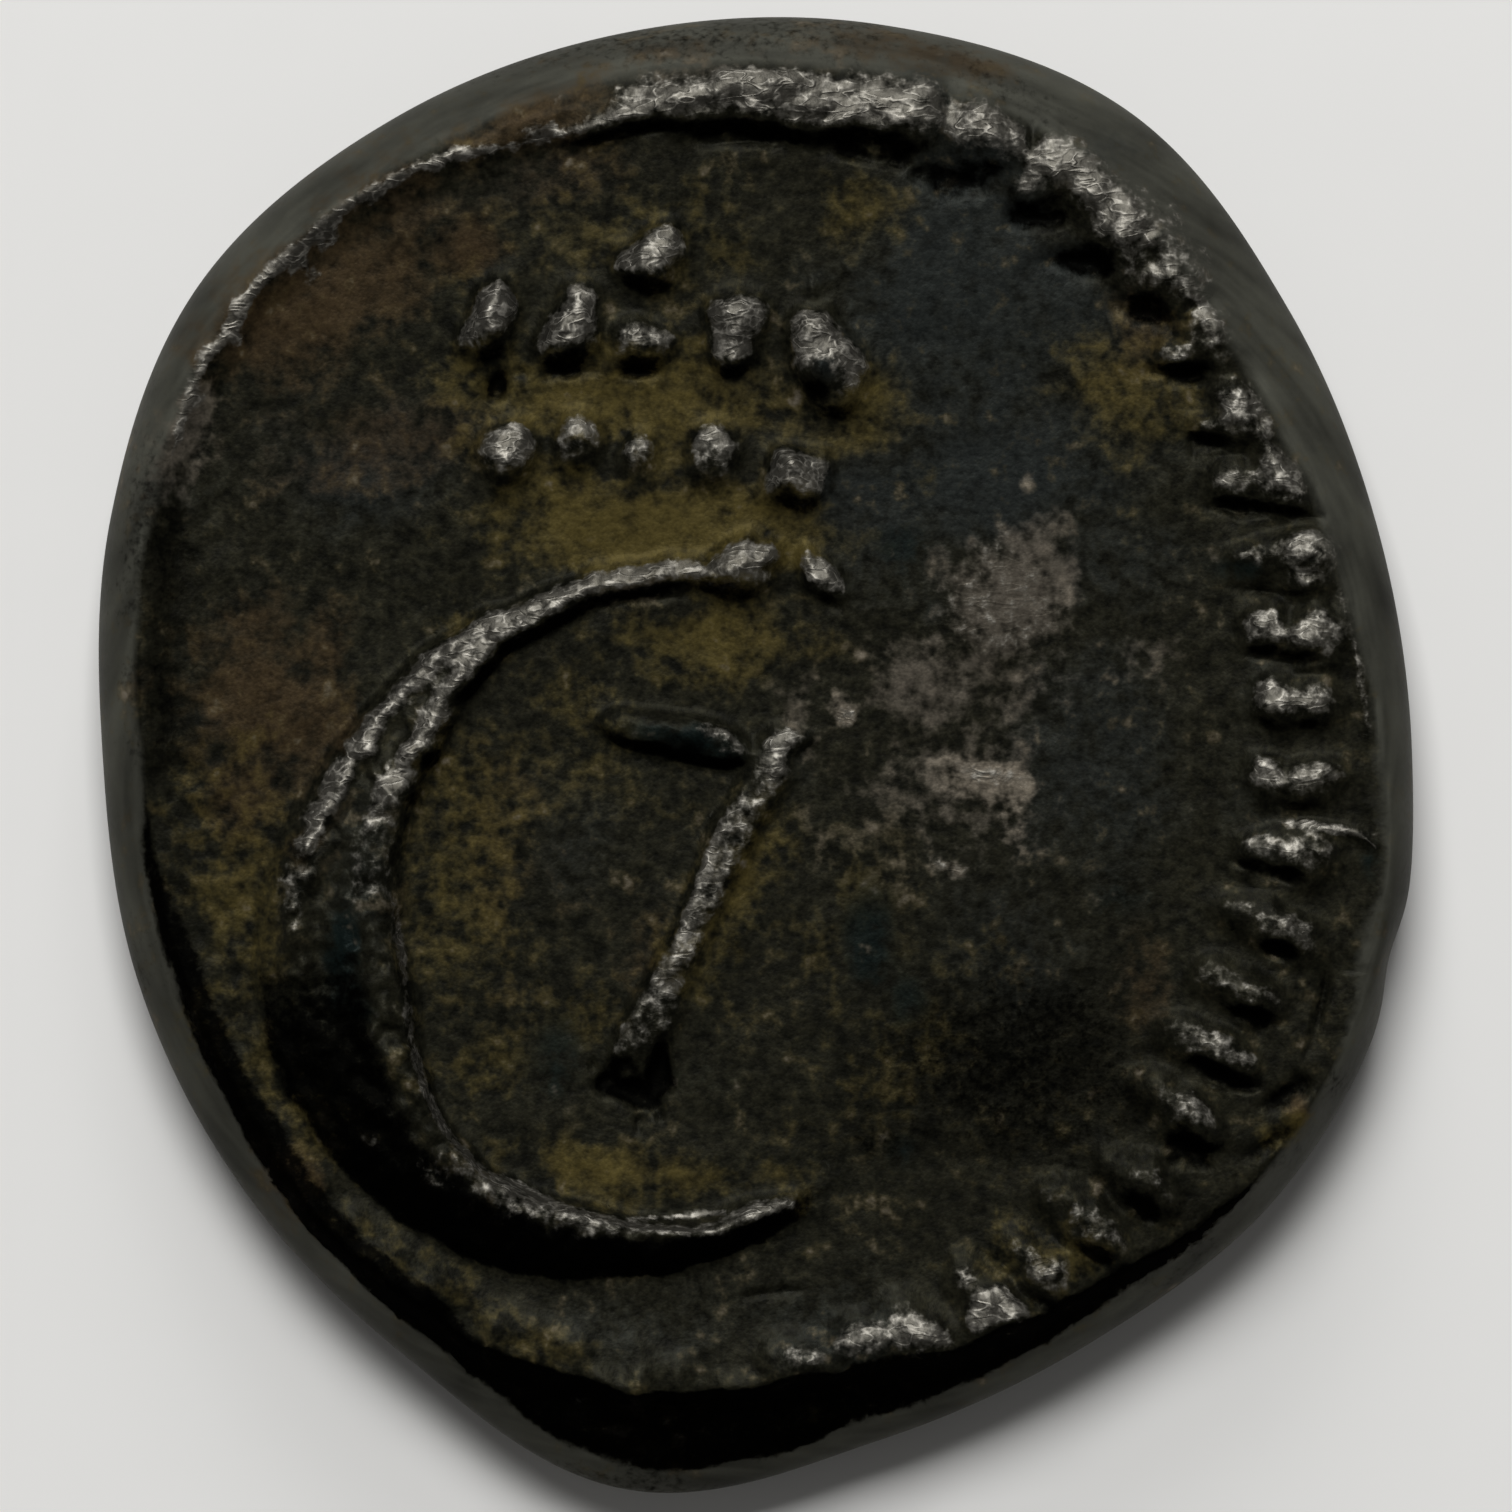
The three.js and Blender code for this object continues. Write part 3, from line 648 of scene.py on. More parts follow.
@dataclass(frozen=True)
class Toning:
    """Where the silver wears bright, where grime and toning lie, and where shade and highlights are
    painted, over both faces.
    """

    flan: Flan = Flan()
    crescent: Crescent = Crescent()
    ochre: tuple[Row, ...] = (
        *((640, 530, 330, 90, 4, 1.0), (650, 400, 400, 90, -6, 0.75)),
        *((470, 860, 120, 330, 0, 0.5), (560, 740, 200, 200, 0, 0.35)),
        *((235, 900, 90, 260, 0, 0.5), (440, 1280, 330, 40, -32, 0.4)),
        *((605, 1165, 130, 60, -10, 0.9), (690, 1180, 160, 50, 0, 0.7)),
        *((700, 640, 200, 70, 0, 0.75), (870, 400, 70, 90, -20, 0.7)),
        *((1120, 390, 90, 160, 30, 0.5), (860, 880, 90, 120, 0, 0.45)),
        *((900, 1040, 240, 240, 0, 0.3), (1290, 1128, 60, 26, 30, 0.8)),
        *((730, 900, 70, 200, -25, 0.6), (290, 1090, 80, 200, 30, 0.4)),
        *((640, 240, 200, 120, 0, 0.4), (1060, 1250, 120, 90, 0, 0.4), (860, 205, 60, 60, 0, 0.5)),
        *((813, 1412, 16, 40, 0, 1.0), (590, 1010, 90, 90, 0, 0.4)),
    )
    umber: tuple[Row, ...] = (
        *((330, 300, 240, 150, 30, 0.9), (470, 250, 90, 60, 0, 1.0), (400, 430, 200, 90, 0, 0.6)),
        *((260, 700, 150, 160, 0, 0.9), (240, 800, 120, 120, 0, 0.8)),
        *((560, 180, 180, 60, 10, 0.5), (500, 880, 90, 200, 0, 0.4), (1140, 330, 60, 90, 0, 0.5)),
        *((1150, 980, 60, 90, 0, 0.5), (530, 120, 160, 60, 20, 0.9), (950, 60, 170, 40, -12, 1.0)),
        *((660, 55, 200, 30, 8, 0.5), (300, 1180, 70, 140, 40, 0.8)),
        *((1300, 1110, 40, 50, 20, 0.7), (640, 960, 70, 120, -25, 0.4)),
    )
    slate: tuple[Row, ...] = (
        *((960, 300, 260, 300, -20, 0.9), (980, 480, 260, 180, 0, 1.0)),
        *((1110, 560, 160, 160, 0, 0.6), (350, 480, 240, 130, 0, 0.7)),
        *((1080, 760, 240, 260, 0, 0.6), (560, 850, 110, 150, 0, 0.5)),
        *((620, 1330, 260, 80, -6, 0.4), (830, 1310, 200, 90, 0, 0.5)),
        *((1000, 950, 200, 160, 0, 0.5), (560, 190, 200, 90, 0, 0.4), (360, 880, 90, 180, 0, 0.4)),
        (826, 366, 34, 40, 0, 1.0),
    )
    teal: tuple[Row, ...] = (
        *((345, 950, 60, 130, 0, 1.0), (870, 940, 60, 120, 0, 0.9), (905, 1000, 60, 90, -30, 0.9)),
        *((560, 1050, 70, 120, 0, 0.7), (900, 545, 90, 70, 0, 0.7), (1120, 900, 80, 60, 0, 0.5)),
        *((680, 738, 140, 44, -12, 0.9), (905, 1150, 50, 50, 0, 0.8), (1370, 860, 30, 70, 0, 0.8)),
        *((1240, 570, 60, 26, 0, 0.7), (700, 1070, 120, 60, 0, 0.4), (930, 770, 70, 60, 0, 0.4)),
    )
    rose: tuple[Row, ...] = (
        *((1010, 610, 150, 120, 0, 1.0), (930, 680, 170, 120, 20, 0.7)),
        *((1010, 700, 130, 90, 0, 0.5), (960, 800, 190, 120, 0, 0.6)),
        *((1150, 650, 120, 60, 30, 0.4), (600, 590, 240, 30, 8, 0.5)),
        *((180, 440, 60, 130, -25, 0.8), (740, 80, 260, 60, 0, 0.4)),
        (870, 850, 160, 60, -20, 0.4),
    )
    cream: tuple[Row, ...] = (
        *((985, 775, 100, 40, -12, 1.0), (1015, 800, 50, 60, 0, 0.8), (845, 712, 24, 30, 30, 0.8)),
        *((960, 870, 60, 20, -20, 0.7), (1010, 840, 30, 30, 0, 0.5), (1024, 480, 20, 40, 0, 0.5)),
        *((1060, 600, 40, 60, 0, 0.4), (880, 650, 60, 40, 0, 0.3), (940, 56, 12, 6, 0, 1.0)),
    )
    polish: tuple[Row, ...] = (
        *((650, 330, 520, 240, 0, 1.4), (509, 453, 70, 70, 0, 1.0), (797, 479, 90, 90, 0, 1.6)),
        *((600, 445, 260, 70, 0, 0.6), (744, 570, 110, 80, 0, 1.6), (830, 580, 70, 60, 0, 1.0)),
        *((560, 590, 300, 90, 20, 1.9), (400, 690, 300, 130, 50, 1.7)),
        *((330, 800, 60, 160, -10, 0.7), (700, 900, 110, 380, -25, 0.62)),
        *((790, 745, 110, 70, 0, 1.3), (640, 1190, 380, 60, -8, 0.7), (760, 90, 380, 110, 0, 1.6)),
        *((250, 330, 130, 330, -38, 1.5), (540, 150, 260, 50, 18, 1.0)),
        *((1070, 210, 420, 180, -42, 0.9), (1280, 640, 200, 620, 0, 0.62)),
        *((1180, 1100, 220, 420, -40, 0.8), (940, 1310, 260, 130, 20, 1.1)),
        (640, 1390, 260, 50, 0, 0.8),
    )
    polish_floor: float = 0.1
    reverse_polish: float = 0.6
    common: float = 0.6
    rare: float = 0.25
    # Scraped metal; the two thinnest rows, under the crescent's lower inner edge, paint a highlight
    # line.
    scuffs_and_highlights: tuple[Row, ...] = (
        *((760, 104, 280, 40, -2, 1.0), (640, 116, 120, 24, 16, 0.9), (560, 140, 90, 18, 14, 0.6)),
        *((960, 128, 70, 36, -20, 0.9), (1050, 166, 70, 30, -30, 0.7)),
        *((1146, 248, 110, 80, -50, 0.2), (985, 775, 90, 16, -10, 0.8)),
        *((960, 870, 50, 8, -25, 0.8), (845, 712, 12, 30, 30, 0.9), (1010, 610, 120, 90, 0, 0.3)),
        *((560, 1392, 200, 14, -14, 0.7), (690, 1405, 90, 14, 6, 0.6)),
        *((560, 1204, 110, 6, -28, 0.9), (700, 1213, 200, 5, 4, 1.0), (1330, 829, 90, 6, -8, 0.9)),
    )
    smoke: tuple[Row, ...] = (
        *((1000, 1060, 420, 260, 0, 0.75), (690, 744, 130, 30, -12, 0.5)),
        *((330, 1000, 60, 140, 0, 0.3), (900, 960, 60, 140, -20, 0.45)),
        *((600, 960, 80, 180, 0, 0.25), (870, 1240, 200, 90, 30, 0.3)),
        *((643, 352, 70, 48, 0, 0.26), (580, 450, 50, 44, 0, 0.3), (713, 462, 54, 48, 0, 0.3)),
        *((638, 462, 40, 40, 0, 0.26), (821, 374, 54, 52, 0, 0.5), (1080, 1160, 300, 200, 0, 0.5)),
        *((170, 560, 60, 260, 8, 0.6), (170, 700, 60, 200, 0, 0.6), (180, 900, 60, 160, 0, 0.5)),
        *((300, 420, 200, 60, 0, 0.35), (1040, 900, 300, 160, 0, 0.3)),
        *((560, 860, 90, 260, 0, 0.3), (250, 1270, 300, 50, -48, 0.6)),
        *((400, 1415, 220, 50, -35, 0.6), (130, 1020, 40, 200, -15, 0.4)),
        *((620, 1482, 280, 34, -8, 0.45), (1150, 1330, 240, 40, 40, 0.35)),
        *((700, 44, 420, 60, 4, 0.45), (1000, 88, 300, 60, -30, 0.35)),
    )
    band_widths: tuple[Row, ...] = (
        *((0, 34), (20, 54), (40, 72), (52, 74), (64, 62), (76, 54), (90, 50), (105, 48)),
        *((120, 46), (135, 46), (160, 42), (180, 38), (210, 34), (230, 30), (250, 30), (270, 24)),
        *((300, 26), (330, 28), (350, 32)),
    )
    wear_cells: int = 8
    hollow_cells: int = 3
    full_wear: float = 0.055
    lower_span: Row = (186, 326, 12)
    gap_span: Row = (200, 238, 12)
    gap: float = 0.036
    # Slopes towards the lower edge, away from the light: between the first pair shade is painted
    # in, between the second the wear fades, so upper slopes stay lighter as painted light.
    painted_shade_slopes: Row = (0.4, 1.0)
    painted_light_slopes: Row = (-0.25, 0.7)
    # How fast smoke covers worn metal, and the most that it covers.
    smoke_cover: Row = (1.8, 0.85)
    lines: tuple[Stroke, ...] = (
        Stroke(
            (
                *((176, 450, 10), (200, 372, 16), (226, 338, 16), (250, 300, 18), (278, 268, 20)),
                *((319, 236, 18), (345, 208, 16), (377, 194, 14), (415, 172, 12), (450, 162, 10)),
                *((520, 146, 10), (600, 126, 10)),
            ),
            *(1.1, 0.0, 2.0, 24, 0.7),
        ),
        Stroke(
            ((1286, 826, 6), (1304, 823, 8), (1332, 829, 8), (1356, 834, 7), (1374, 848, 5)),
            *(1.0, 0.0, 2.0, 25),
        ),
        Stroke(
            ((1334, 580, 5), (1344, 612, 7), (1354, 652, 7), (1361, 700, 6), (1366, 742, 5)),
            *(0.45, 0.0, 2.0, 26),
        ),
    )

    def patches(self, u: Field, v: Field, rows: tuple[Row, ...], seed: int) -> Field:
        """The strongest of several patches at each place."""
        total = np.zeros_like(u)
        for number, row in enumerate(rows):
            lump = Lump(*row)
            near = lump.near(u, v, 2.6)
            patch = lump.patch(u[near], v[near], seed + 3 * number)
            total[near] = np.maximum(total[near], patch)
        return total

    def band(self, u: Field, v: Field) -> Field:
        """The smooth band round the flan's edge, which never met a die."""
        angle, distance = self.flan.outline.polar(u, v)
        inwards = (self.flan.edge(angle) - distance) * HALF_ROWS
        inwards = inwards + 3.0 * grain(u, v, 0.08, 301, 2)
        widths = round_clock(np.degrees(angle), self.band_widths)
        return smooth_step(inwards / widths, 1.12, 0.88)

    def wear(self, height: Field, relief: Field) -> tuple[Field, Field]:
        """How far each place stands over what is round it, and how far it lies under it; recesses
        are later darkened as grime and painted shade.
        """
        over = height - blurred(height, self.wear_cells)
        under = blurred(height, self.hollow_cells) - height
        struck = smooth_step(relief, 0.03, 0.1)
        return np.clip(over / self.full_wear, 0, 1) * struck, 0.4 * smooth_step(under, 0.02, 0.07)

    def away_from_light(self, u: Field, v: Field, height: Field) -> Field:
        """How steeply each place falls towards the coin's lower edge, away from the light, where
        shade is painted.
        """
        (u_across, u_along), (v_across, v_along) = np.gradient(u), np.gradient(v)
        across, along = np.gradient(height)
        area = np.maximum(u_across * v_along - u_along * v_across, 1e-9)
        return blurred((along * u_across - across * u_along) / area / HALF_LENGTH, 1)

    def paint(
        self, u: Field, v: Field, height: Field, relief: Field, sunk: Field, up: bool
    ) -> dict[Tone, Field]:
        """Works out every tone over one face, painted shade and highlights among them.

        Args:
            u: Places along X, in half lengths.
            v: Places along Y, in half lengths.
            height: How far the face stands out, in millimetres.
            relief: Height of its struck forms alone.
            sunk: Share of the gaps and pits.
            up: True on the obverse. The reverse is toned at random.

        Returns:
            A value from 0 to 1 for each tone and place.
        """
        worn_and_lit, grime_and_shade = self.wear(height, relief)
        # Recesses and pits are darkened as grime and painted shade.
        grime_and_shade = np.maximum(grime_and_shade, np.clip(sunk, 0, 1))
        soot_and_shade = np.zeros_like(u)
        if up:
            rubbing = self.patches(u, v, self.polish, 900)
            worn_and_lit = worn_and_lit * np.clip(rubbing + self.polish_floor, 0, 1)
            worn_and_lit = np.maximum(worn_and_lit, self.patches(u, v, self.scuffs_and_highlights, 1300))
            smoke = self.patches(u, v, self.smoke, 1500)
            away_from_light = self.away_from_light(u, v, height)
            # Painted shade on slopes facing the lower edge, away from the light; the wear fades
            # there, leaving upper slopes lighter as painted light.
            grime_and_shade = np.maximum(grime_and_shade, 0.9 * smooth_step(away_from_light, *self.painted_shade_slopes))
            worn_and_lit *= 1.1 - smooth_step(blurred(away_from_light, 1), *self.painted_light_slopes)
            cover, most = self.smoke_cover
            worn_and_lit *= 1 - np.clip(cover * smoke, 0, most)
            # Painted highlight along the crescent's lower inner edge.
            worn_and_lit = np.maximum(worn_and_lit, self.crescent.painted_highlight_edge(u, v))
            for line in self.lines:
                worn_and_lit = np.maximum(worn_and_lit, line.height(u, v))
            # Near black: painted shade down the crescent's lower fall, and smoky toning.
            soot_and_shade = np.maximum(self.crescent.painted_shade_fall(u, v), smoke)
        else:
            worn_and_lit = self.reverse_polish * worn_and_lit
        band = self.band(u, v)
        inside = 1 - band
        worn_and_lit = np.clip(worn_and_lit, 0, 1) * (1 - 0.6 * band)
        tones = {Tone.WORN_AND_LIT: worn_and_lit, Tone.GRIME_AND_SHADE: grime_and_shade * inside, Tone.BAND: band}
        by_hand = {
            Tone.OCHRE: self.ochre,
            Tone.UMBER: self.umber,
            Tone.SLATE: self.slate,
            Tone.TEAL: self.teal,
            Tone.ROSE: self.rose,
            Tone.CREAM: self.cream,
        }
        for number, (tone, rows) in enumerate(by_hand.items()):
            seed = 500 + 90 * number
            if up:
                tones[tone] = self.patches(u, v, rows, seed)
            else:
                share = self.common if tone in COMMON_TONES else self.rare
                tones[tone] = share * smooth_step(grain(u, v, 0.16, seed, 4), 0.0, 0.9)
        angle, _ = self.flan.outline.polar(u, v)
        share = self.flan.struck_share(u, v)
        low = between(np.degrees(angle), *self.lower_span)
        share = share + self.gap * between(np.degrees(angle), *self.gap_span)
        # Painted shade down the slope below the struck face's lower edge, which faces away from the
        # light.
        slope = smooth_step(share, 0.992, 1.012) * inside * low
        tones[Tone.SOOT_AND_SHADE] = np.maximum(soot_and_shade, slope if up else 0.0)
        return tones


class Signal:
    """One shader value, on which Python's operators lay Math nodes."""

    def __init__(self, bench: "Bench", socket: bpy.types.NodeSocket) -> None:
        """Keeps the socket and the bench that its further nodes go on."""
        self.bench, self.socket = bench, socket

    def __add__(self, other: Input) -> "Signal":
        """Sum of the two."""
        return self.bench.maths("ADD", self, other)

    def __sub__(self, other: Input) -> "Signal":
        """This less the other."""
        return self.bench.maths("SUBTRACT", self, other)

    def __rsub__(self, other: Input) -> "Signal":
        """The other less this."""
        return self.bench.maths("SUBTRACT", other, self)

    def __mul__(self, other: Input) -> "Signal":
        """Product of the two."""
        return self.bench.maths("MULTIPLY", self, other)

    __radd__ = __add__
    __rmul__ = __mul__

    def absolute(self) -> "Signal":
        """The value without its sign."""
        return self.bench.maths("ABSOLUTE", self, 0.0)

    def largest(self, other: Input) -> "Signal":
        """The larger of the two."""
        return self.bench.maths("MAXIMUM", self, other)

    def step(self, low: float, high: float) -> "Signal":
        """Rises smoothly from 0 at low to 1 at high, or falls where low is the larger."""
        inputs = {"Value": self, "From Min": low, "From Max": high}
        settings = {"interpolation_type": "SMOOTHSTEP"}
        made = self.bench.node("ShaderNodeMapRange", settings, inputs)
        return Signal(self.bench, made.outputs["Result"])


class Bench:
    """Lays out and wires the nodes of one material."""

    def __init__(self, name: str) -> None:
        """Starts an empty material with an output and its own coordinates, in millimetres."""
        self.material = bpy.data.materials.new(name)
        self.material.use_nodes = True
        self.tree = self.material.node_tree
        self.tree.nodes.clear()
        self.output = self.node("ShaderNodeOutputMaterial", {}, {})
        self.place = self.node("ShaderNodeTexCoord", {}, {}).outputs["Object"]

    def node(self, kind: str, settings: dict[str, object], inputs: dict) -> bpy.types.Node:
        """Adds any node.

        Args:
            kind: Type of the node.
            settings: Its own settings, set first.
            inputs: Values or links of its sockets, by name or number.

        Returns:
            The new node.
        """
        made = self.tree.nodes.new(kind)
        for name, value in settings.items():
            setattr(made, name, value)
        for name, value in inputs.items():
            if isinstance(value, Signal):
                value = value.socket
            if isinstance(value, bpy.types.NodeSocket):
                self.tree.links.new(value, made.inputs[name])
            else:
                made.inputs[name].default_value = value
        return made

    def maths(self, operation: str, first: Input, second: Input) -> Signal:
        """Adds one Math node."""
        made = self.node("ShaderNodeMath", {"operation": operation}, {0: first, 1: second})
        return Signal(self, made.outputs[0])

    def tone(self, name: str) -> Signal:
        """Reads a value that is kept on the piece's points."""
        made = self.node("ShaderNodeAttribute", {"attribute_name": name}, {})
        return Signal(self, made.outputs["Fac"])

    def noise(
        self, scale: float, detail: float, turn: float = 0, stretch: float = 1, curl: float = 0
    ) -> Signal:
        """Adds noise over the piece.

        Args:
            scale: Lumps in a millimetre.
            detail: Octaves under the largest.
            turn: Turn of its streaks about Z, in degrees.
            stretch: How many times longer than wide a streak is.
            curl: How strongly the streaks wander.

        Returns:
            The noise, mostly within 0.3 to 0.7.
        """
        size = scale / MILLIMETRE
        inputs = {
            "Vector": self.place,
            "Rotation": (0.0, 0.0, -np.radians(turn)),
            "Scale": (size / stretch, size, size),
        }
        placed = self.node("ShaderNodeMapping", {}, inputs)
        inputs = {"Vector": placed.outputs[0], "Scale": 1.0, "Detail": detail, "Roughness": 0.6}
        inputs["Distortion"] = curl
        return Signal(self, self.node("ShaderNodeTexNoise", {}, inputs).outputs["Fac"])

    def hoops(self, along: float, across: float) -> Signal:
        """Adds noise drawn out into long hoops round the piece's middle.

        Args:
            along: Lumps in a millimetre round the piece.
            across: Lumps in a millimetre of the way outwards.

        Returns:
            The noise, mostly within 0.3 to 0.7.
        """
        outwards = self.node("ShaderNodeVectorMath", {"operation": "LENGTH"}, {0: self.place})
        inputs = {"Z": Signal(self, outwards.outputs["Value"]) * (across / MILLIMETRE)}
        lift = self.node("ShaderNodeCombineXYZ", {}, inputs).outputs[0]
        inputs = {0: self.place, 1: (along / MILLIMETRE,) * 3, 2: lift}
        placed = self.node("ShaderNodeVectorMath", {"operation": "MULTIPLY_ADD"}, inputs)
        inputs = {"Vector": placed.outputs[0], "Scale": 1.0, "Detail": 2.0}
        return Signal(self, self.node("ShaderNodeTexNoise", {}, inputs).outputs["Fac"])

    def mix(self, share: Input, first: Input, second: Input) -> bpy.types.NodeSocket:
        """Mixes two colours."""
        first, second = (
            (*colour, 1.0) if isinstance(colour, tuple) else colour for colour in (first, second)
        )
        inputs = {0: share, 6: first, 7: second}
        made = self.node("ShaderNodeMix", {"data_type": "RGBA", "clamp_factor": True}, inputs)
        return made.outputs[2]

    def scale(self, colour: bpy.types.NodeSocket, share: Signal) -> bpy.types.NodeSocket:
        """Darkens or brightens a colour."""
        inputs = {0: colour, "Scale": share}
        return self.node("ShaderNodeVectorMath", {"operation": "SCALE"}, inputs).outputs[0]

    def finish(self, inputs: dict) -> bpy.types.Material:
        """Closes the material with its surface shader."""
        shader = self.node("ShaderNodeBsdfPrincipled", {}, inputs)
        self.tree.links.new(shader.outputs[0], self.output.inputs["Surface"])
        return self.material


@dataclass(frozen=True)
class TonedSilver:
    """Old silver under a near black skin, showing metal through on its high places, with shade and
    highlights painted in.
    """

    skin: Colour = (0.0035, 0.0036, 0.0024)
    skin_pale: Colour = (0.016, 0.0152, 0.009)
    ochre: Colour = (0.056, 0.043, 0.012)
    umber: Colour = (0.038, 0.0245, 0.0115)
    slate: Colour = (0.0135, 0.0165, 0.0165)
    teal: Colour = (0.002, 0.006, 0.0065)
    rose: Colour = (0.074, 0.064, 0.050)
    cream: Colour = (0.14, 0.12, 0.092)
    band: Colour = (0.046, 0.046, 0.037)
    # Near black, for grime and for painted shade.
    soot_and_shade: Colour = (0.0008, 0.0008, 0.0007)
    # Colour of metal showing through, laid partly as painted light on upper slopes.
    rubbed_and_lit: Colour = (0.080, 0.0755, 0.064)
    metal: Colour = (0.34, 0.323, 0.283)
    edge_tint: tuple[float, float, float, float] = (0.45, 0.44, 0.42, 1.0)
    # Each noise: its lumps in a millimetre and its octaves, and a streak's turn, stretch and curl.
    dust: Row = (32.0, 1.0)
    speck: Row = (14.0, 2.0)
    clump: Row = (8.0, 2.0)
    blotch: Row = (4.6, 2.0)
    mottle: Row = (1.3, 3.0)
    streak: Row = (10.0, 1.0, 60.0, 2.4, 0.5)
    # Lumps in a millimetre round the piece and outwards.
    hoops: Row = (0.9, 9.0)
    sheen: float = 0.45
    reflection: float = 0.08
    grain_depth: float = 0.00005

    def material(self) -> bpy.types.Material:
        """Lays the toning over the skin, paints shade near black, then wears it through, lighter on
        upper slopes as painted light.
        """
        bench = Bench("toned_silver")
        sizes = (self.dust, self.speck, self.clump, self.blotch, self.mottle, self.streak)
        dust, speck, clump, blotch, mottle, streak = (bench.noise(*size) for size in sizes)
        wire = (streak - 0.5).absolute().step(0.11, 0.0)
        hoops = bench.hoops(*self.hoops)
        band = bench.tone(Tone.BAND.value)
        worn_and_lit = bench.tone(Tone.WORN_AND_LIT.value)
        grime_and_shade = bench.tone(Tone.GRIME_AND_SHADE.value)

        patina = speck * 0.2 + clump * 0.35 + blotch * 0.45
        colour = bench.mix(patina.step(0.31, 0.7), self.skin, self.skin_pale)
        colour = bench.mix(band * 0.9, colour, self.band)
        layers = (
            (Tone.SLATE, self.slate, 0.1, 0.7),
            (Tone.UMBER, self.umber, 0.12, 0.7),
            (Tone.OCHRE, self.ochre, 0.1, 0.9),
            (Tone.TEAL, self.teal, 0.3, 0.8),
            (Tone.ROSE, self.rose, 0.24, 0.85),
            (Tone.CREAM, self.cream, 0.28, 0.9),
        )
        unrest = (mottle - 0.5) + (blotch - 0.5) * 1.6
        unrest = unrest + (clump - 0.5) * 0.7 + (speck - 0.5) * 0.15
        for tone, tint, faint, strength in layers:
            ragged = bench.tone(tone.value) + unrest
            colour = bench.mix(ragged.step(faint, 1.05) * strength, colour, tint)
        earthy = (bench.tone(Tone.OCHRE.value) + unrest).step(0.2, 1.2)
        grit = dust * 0.4 + speck * 0.7 + clump * 0.8 + 0.05
        hammered = mottle * 0.6 + hoops * 2.2 - 0.4
        colour = bench.scale(colour, grit * (1 - band * 0.8) + band * (hammered * 0.8 - 0.02))
        # Near black over grime in recesses and pits, smoky toning, and painted shade on slopes
        # facing the lower edge, the crescent's lower fall and the lower edge slope.
        dirt_and_shade = (grime_and_shade + bench.tone(Tone.SOOT_AND_SHADE.value) + (speck - 0.5) * 1.2).step(0.2, 1.0)
        colour = bench.mix(dirt_and_shade * 0.95, colour, self.soot_and_shade)
        patchy = (speck - 0.5) * 1.1 + (clump - 0.5) * 1.5 + (blotch - 0.5) * 0.7
        # The wear mask also carries painted light, stronger on upper slopes facing the light, so
        # the metal colours mixed in here are partly painted highlights.
        rubbed_and_lit = worn_and_lit * 1.1 + patchy * (worn_and_lit.step(0.0, 0.25) * 0.65 + 0.35)
        rubbed_and_lit = rubbed_and_lit.step(0.15, 0.95)
        colour = bench.mix(rubbed_and_lit * 0.85, colour, self.rubbed_and_lit)
        facets = wire * 0.5 + (speck - 0.5) * 1.3 + (clump - 0.5) * 1.6 + 0.05
        bright = rubbed_and_lit * rubbed_and_lit * facets.step(0.05, 1.0)
        colour = bench.mix(bright * 0.66, colour, self.metal)
        metallic = (rubbed_and_lit.largest(dirt_and_shade) * 0.65 + 0.3) * (1 - earthy * 0.3)
        roughness = self.sheen + rubbed_and_lit * 0.05 + dirt_and_shade * 0.12 + (speck - 0.5) * 0.2 + band * 0.1
        grains = (clump * 0.13 + speck * 0.1) * (1 - band * 0.85) + wire * worn_and_lit * 0.08
        inputs = {"Strength": 1.0, "Distance": self.grain_depth, "Height": grains}
        bump = bench.node("ShaderNodeBump", {}, inputs)
        return bench.finish(
            {
                "Base Color": colour,
                "Metallic": metallic,
                "Roughness": roughness,
                "Specular IOR Level": self.reflection,
                "Specular Tint": self.edge_tint,
                "Normal": bump.outputs[0],
            }
        )


@dataclass(frozen=True)
class PaleBoard:
    """The plain pale board that the coin lies on."""

    pale: Colour = (0.72, 0.715, 0.70)

    def material(self) -> bpy.types.Material:
        """A matt, faintly mottled board."""
        bench = Bench("pale_board")
        mottle = bench.noise(0.8, 3.0)
        lighter = tuple(min(1.0, channel * 1.02) for channel in self.pale)
        colour = bench.mix(mottle, self.pale, lighter)
        return bench.finish({"Base Color": colour, "Roughness": 0.85, "Specular IOR Level": 0.2})


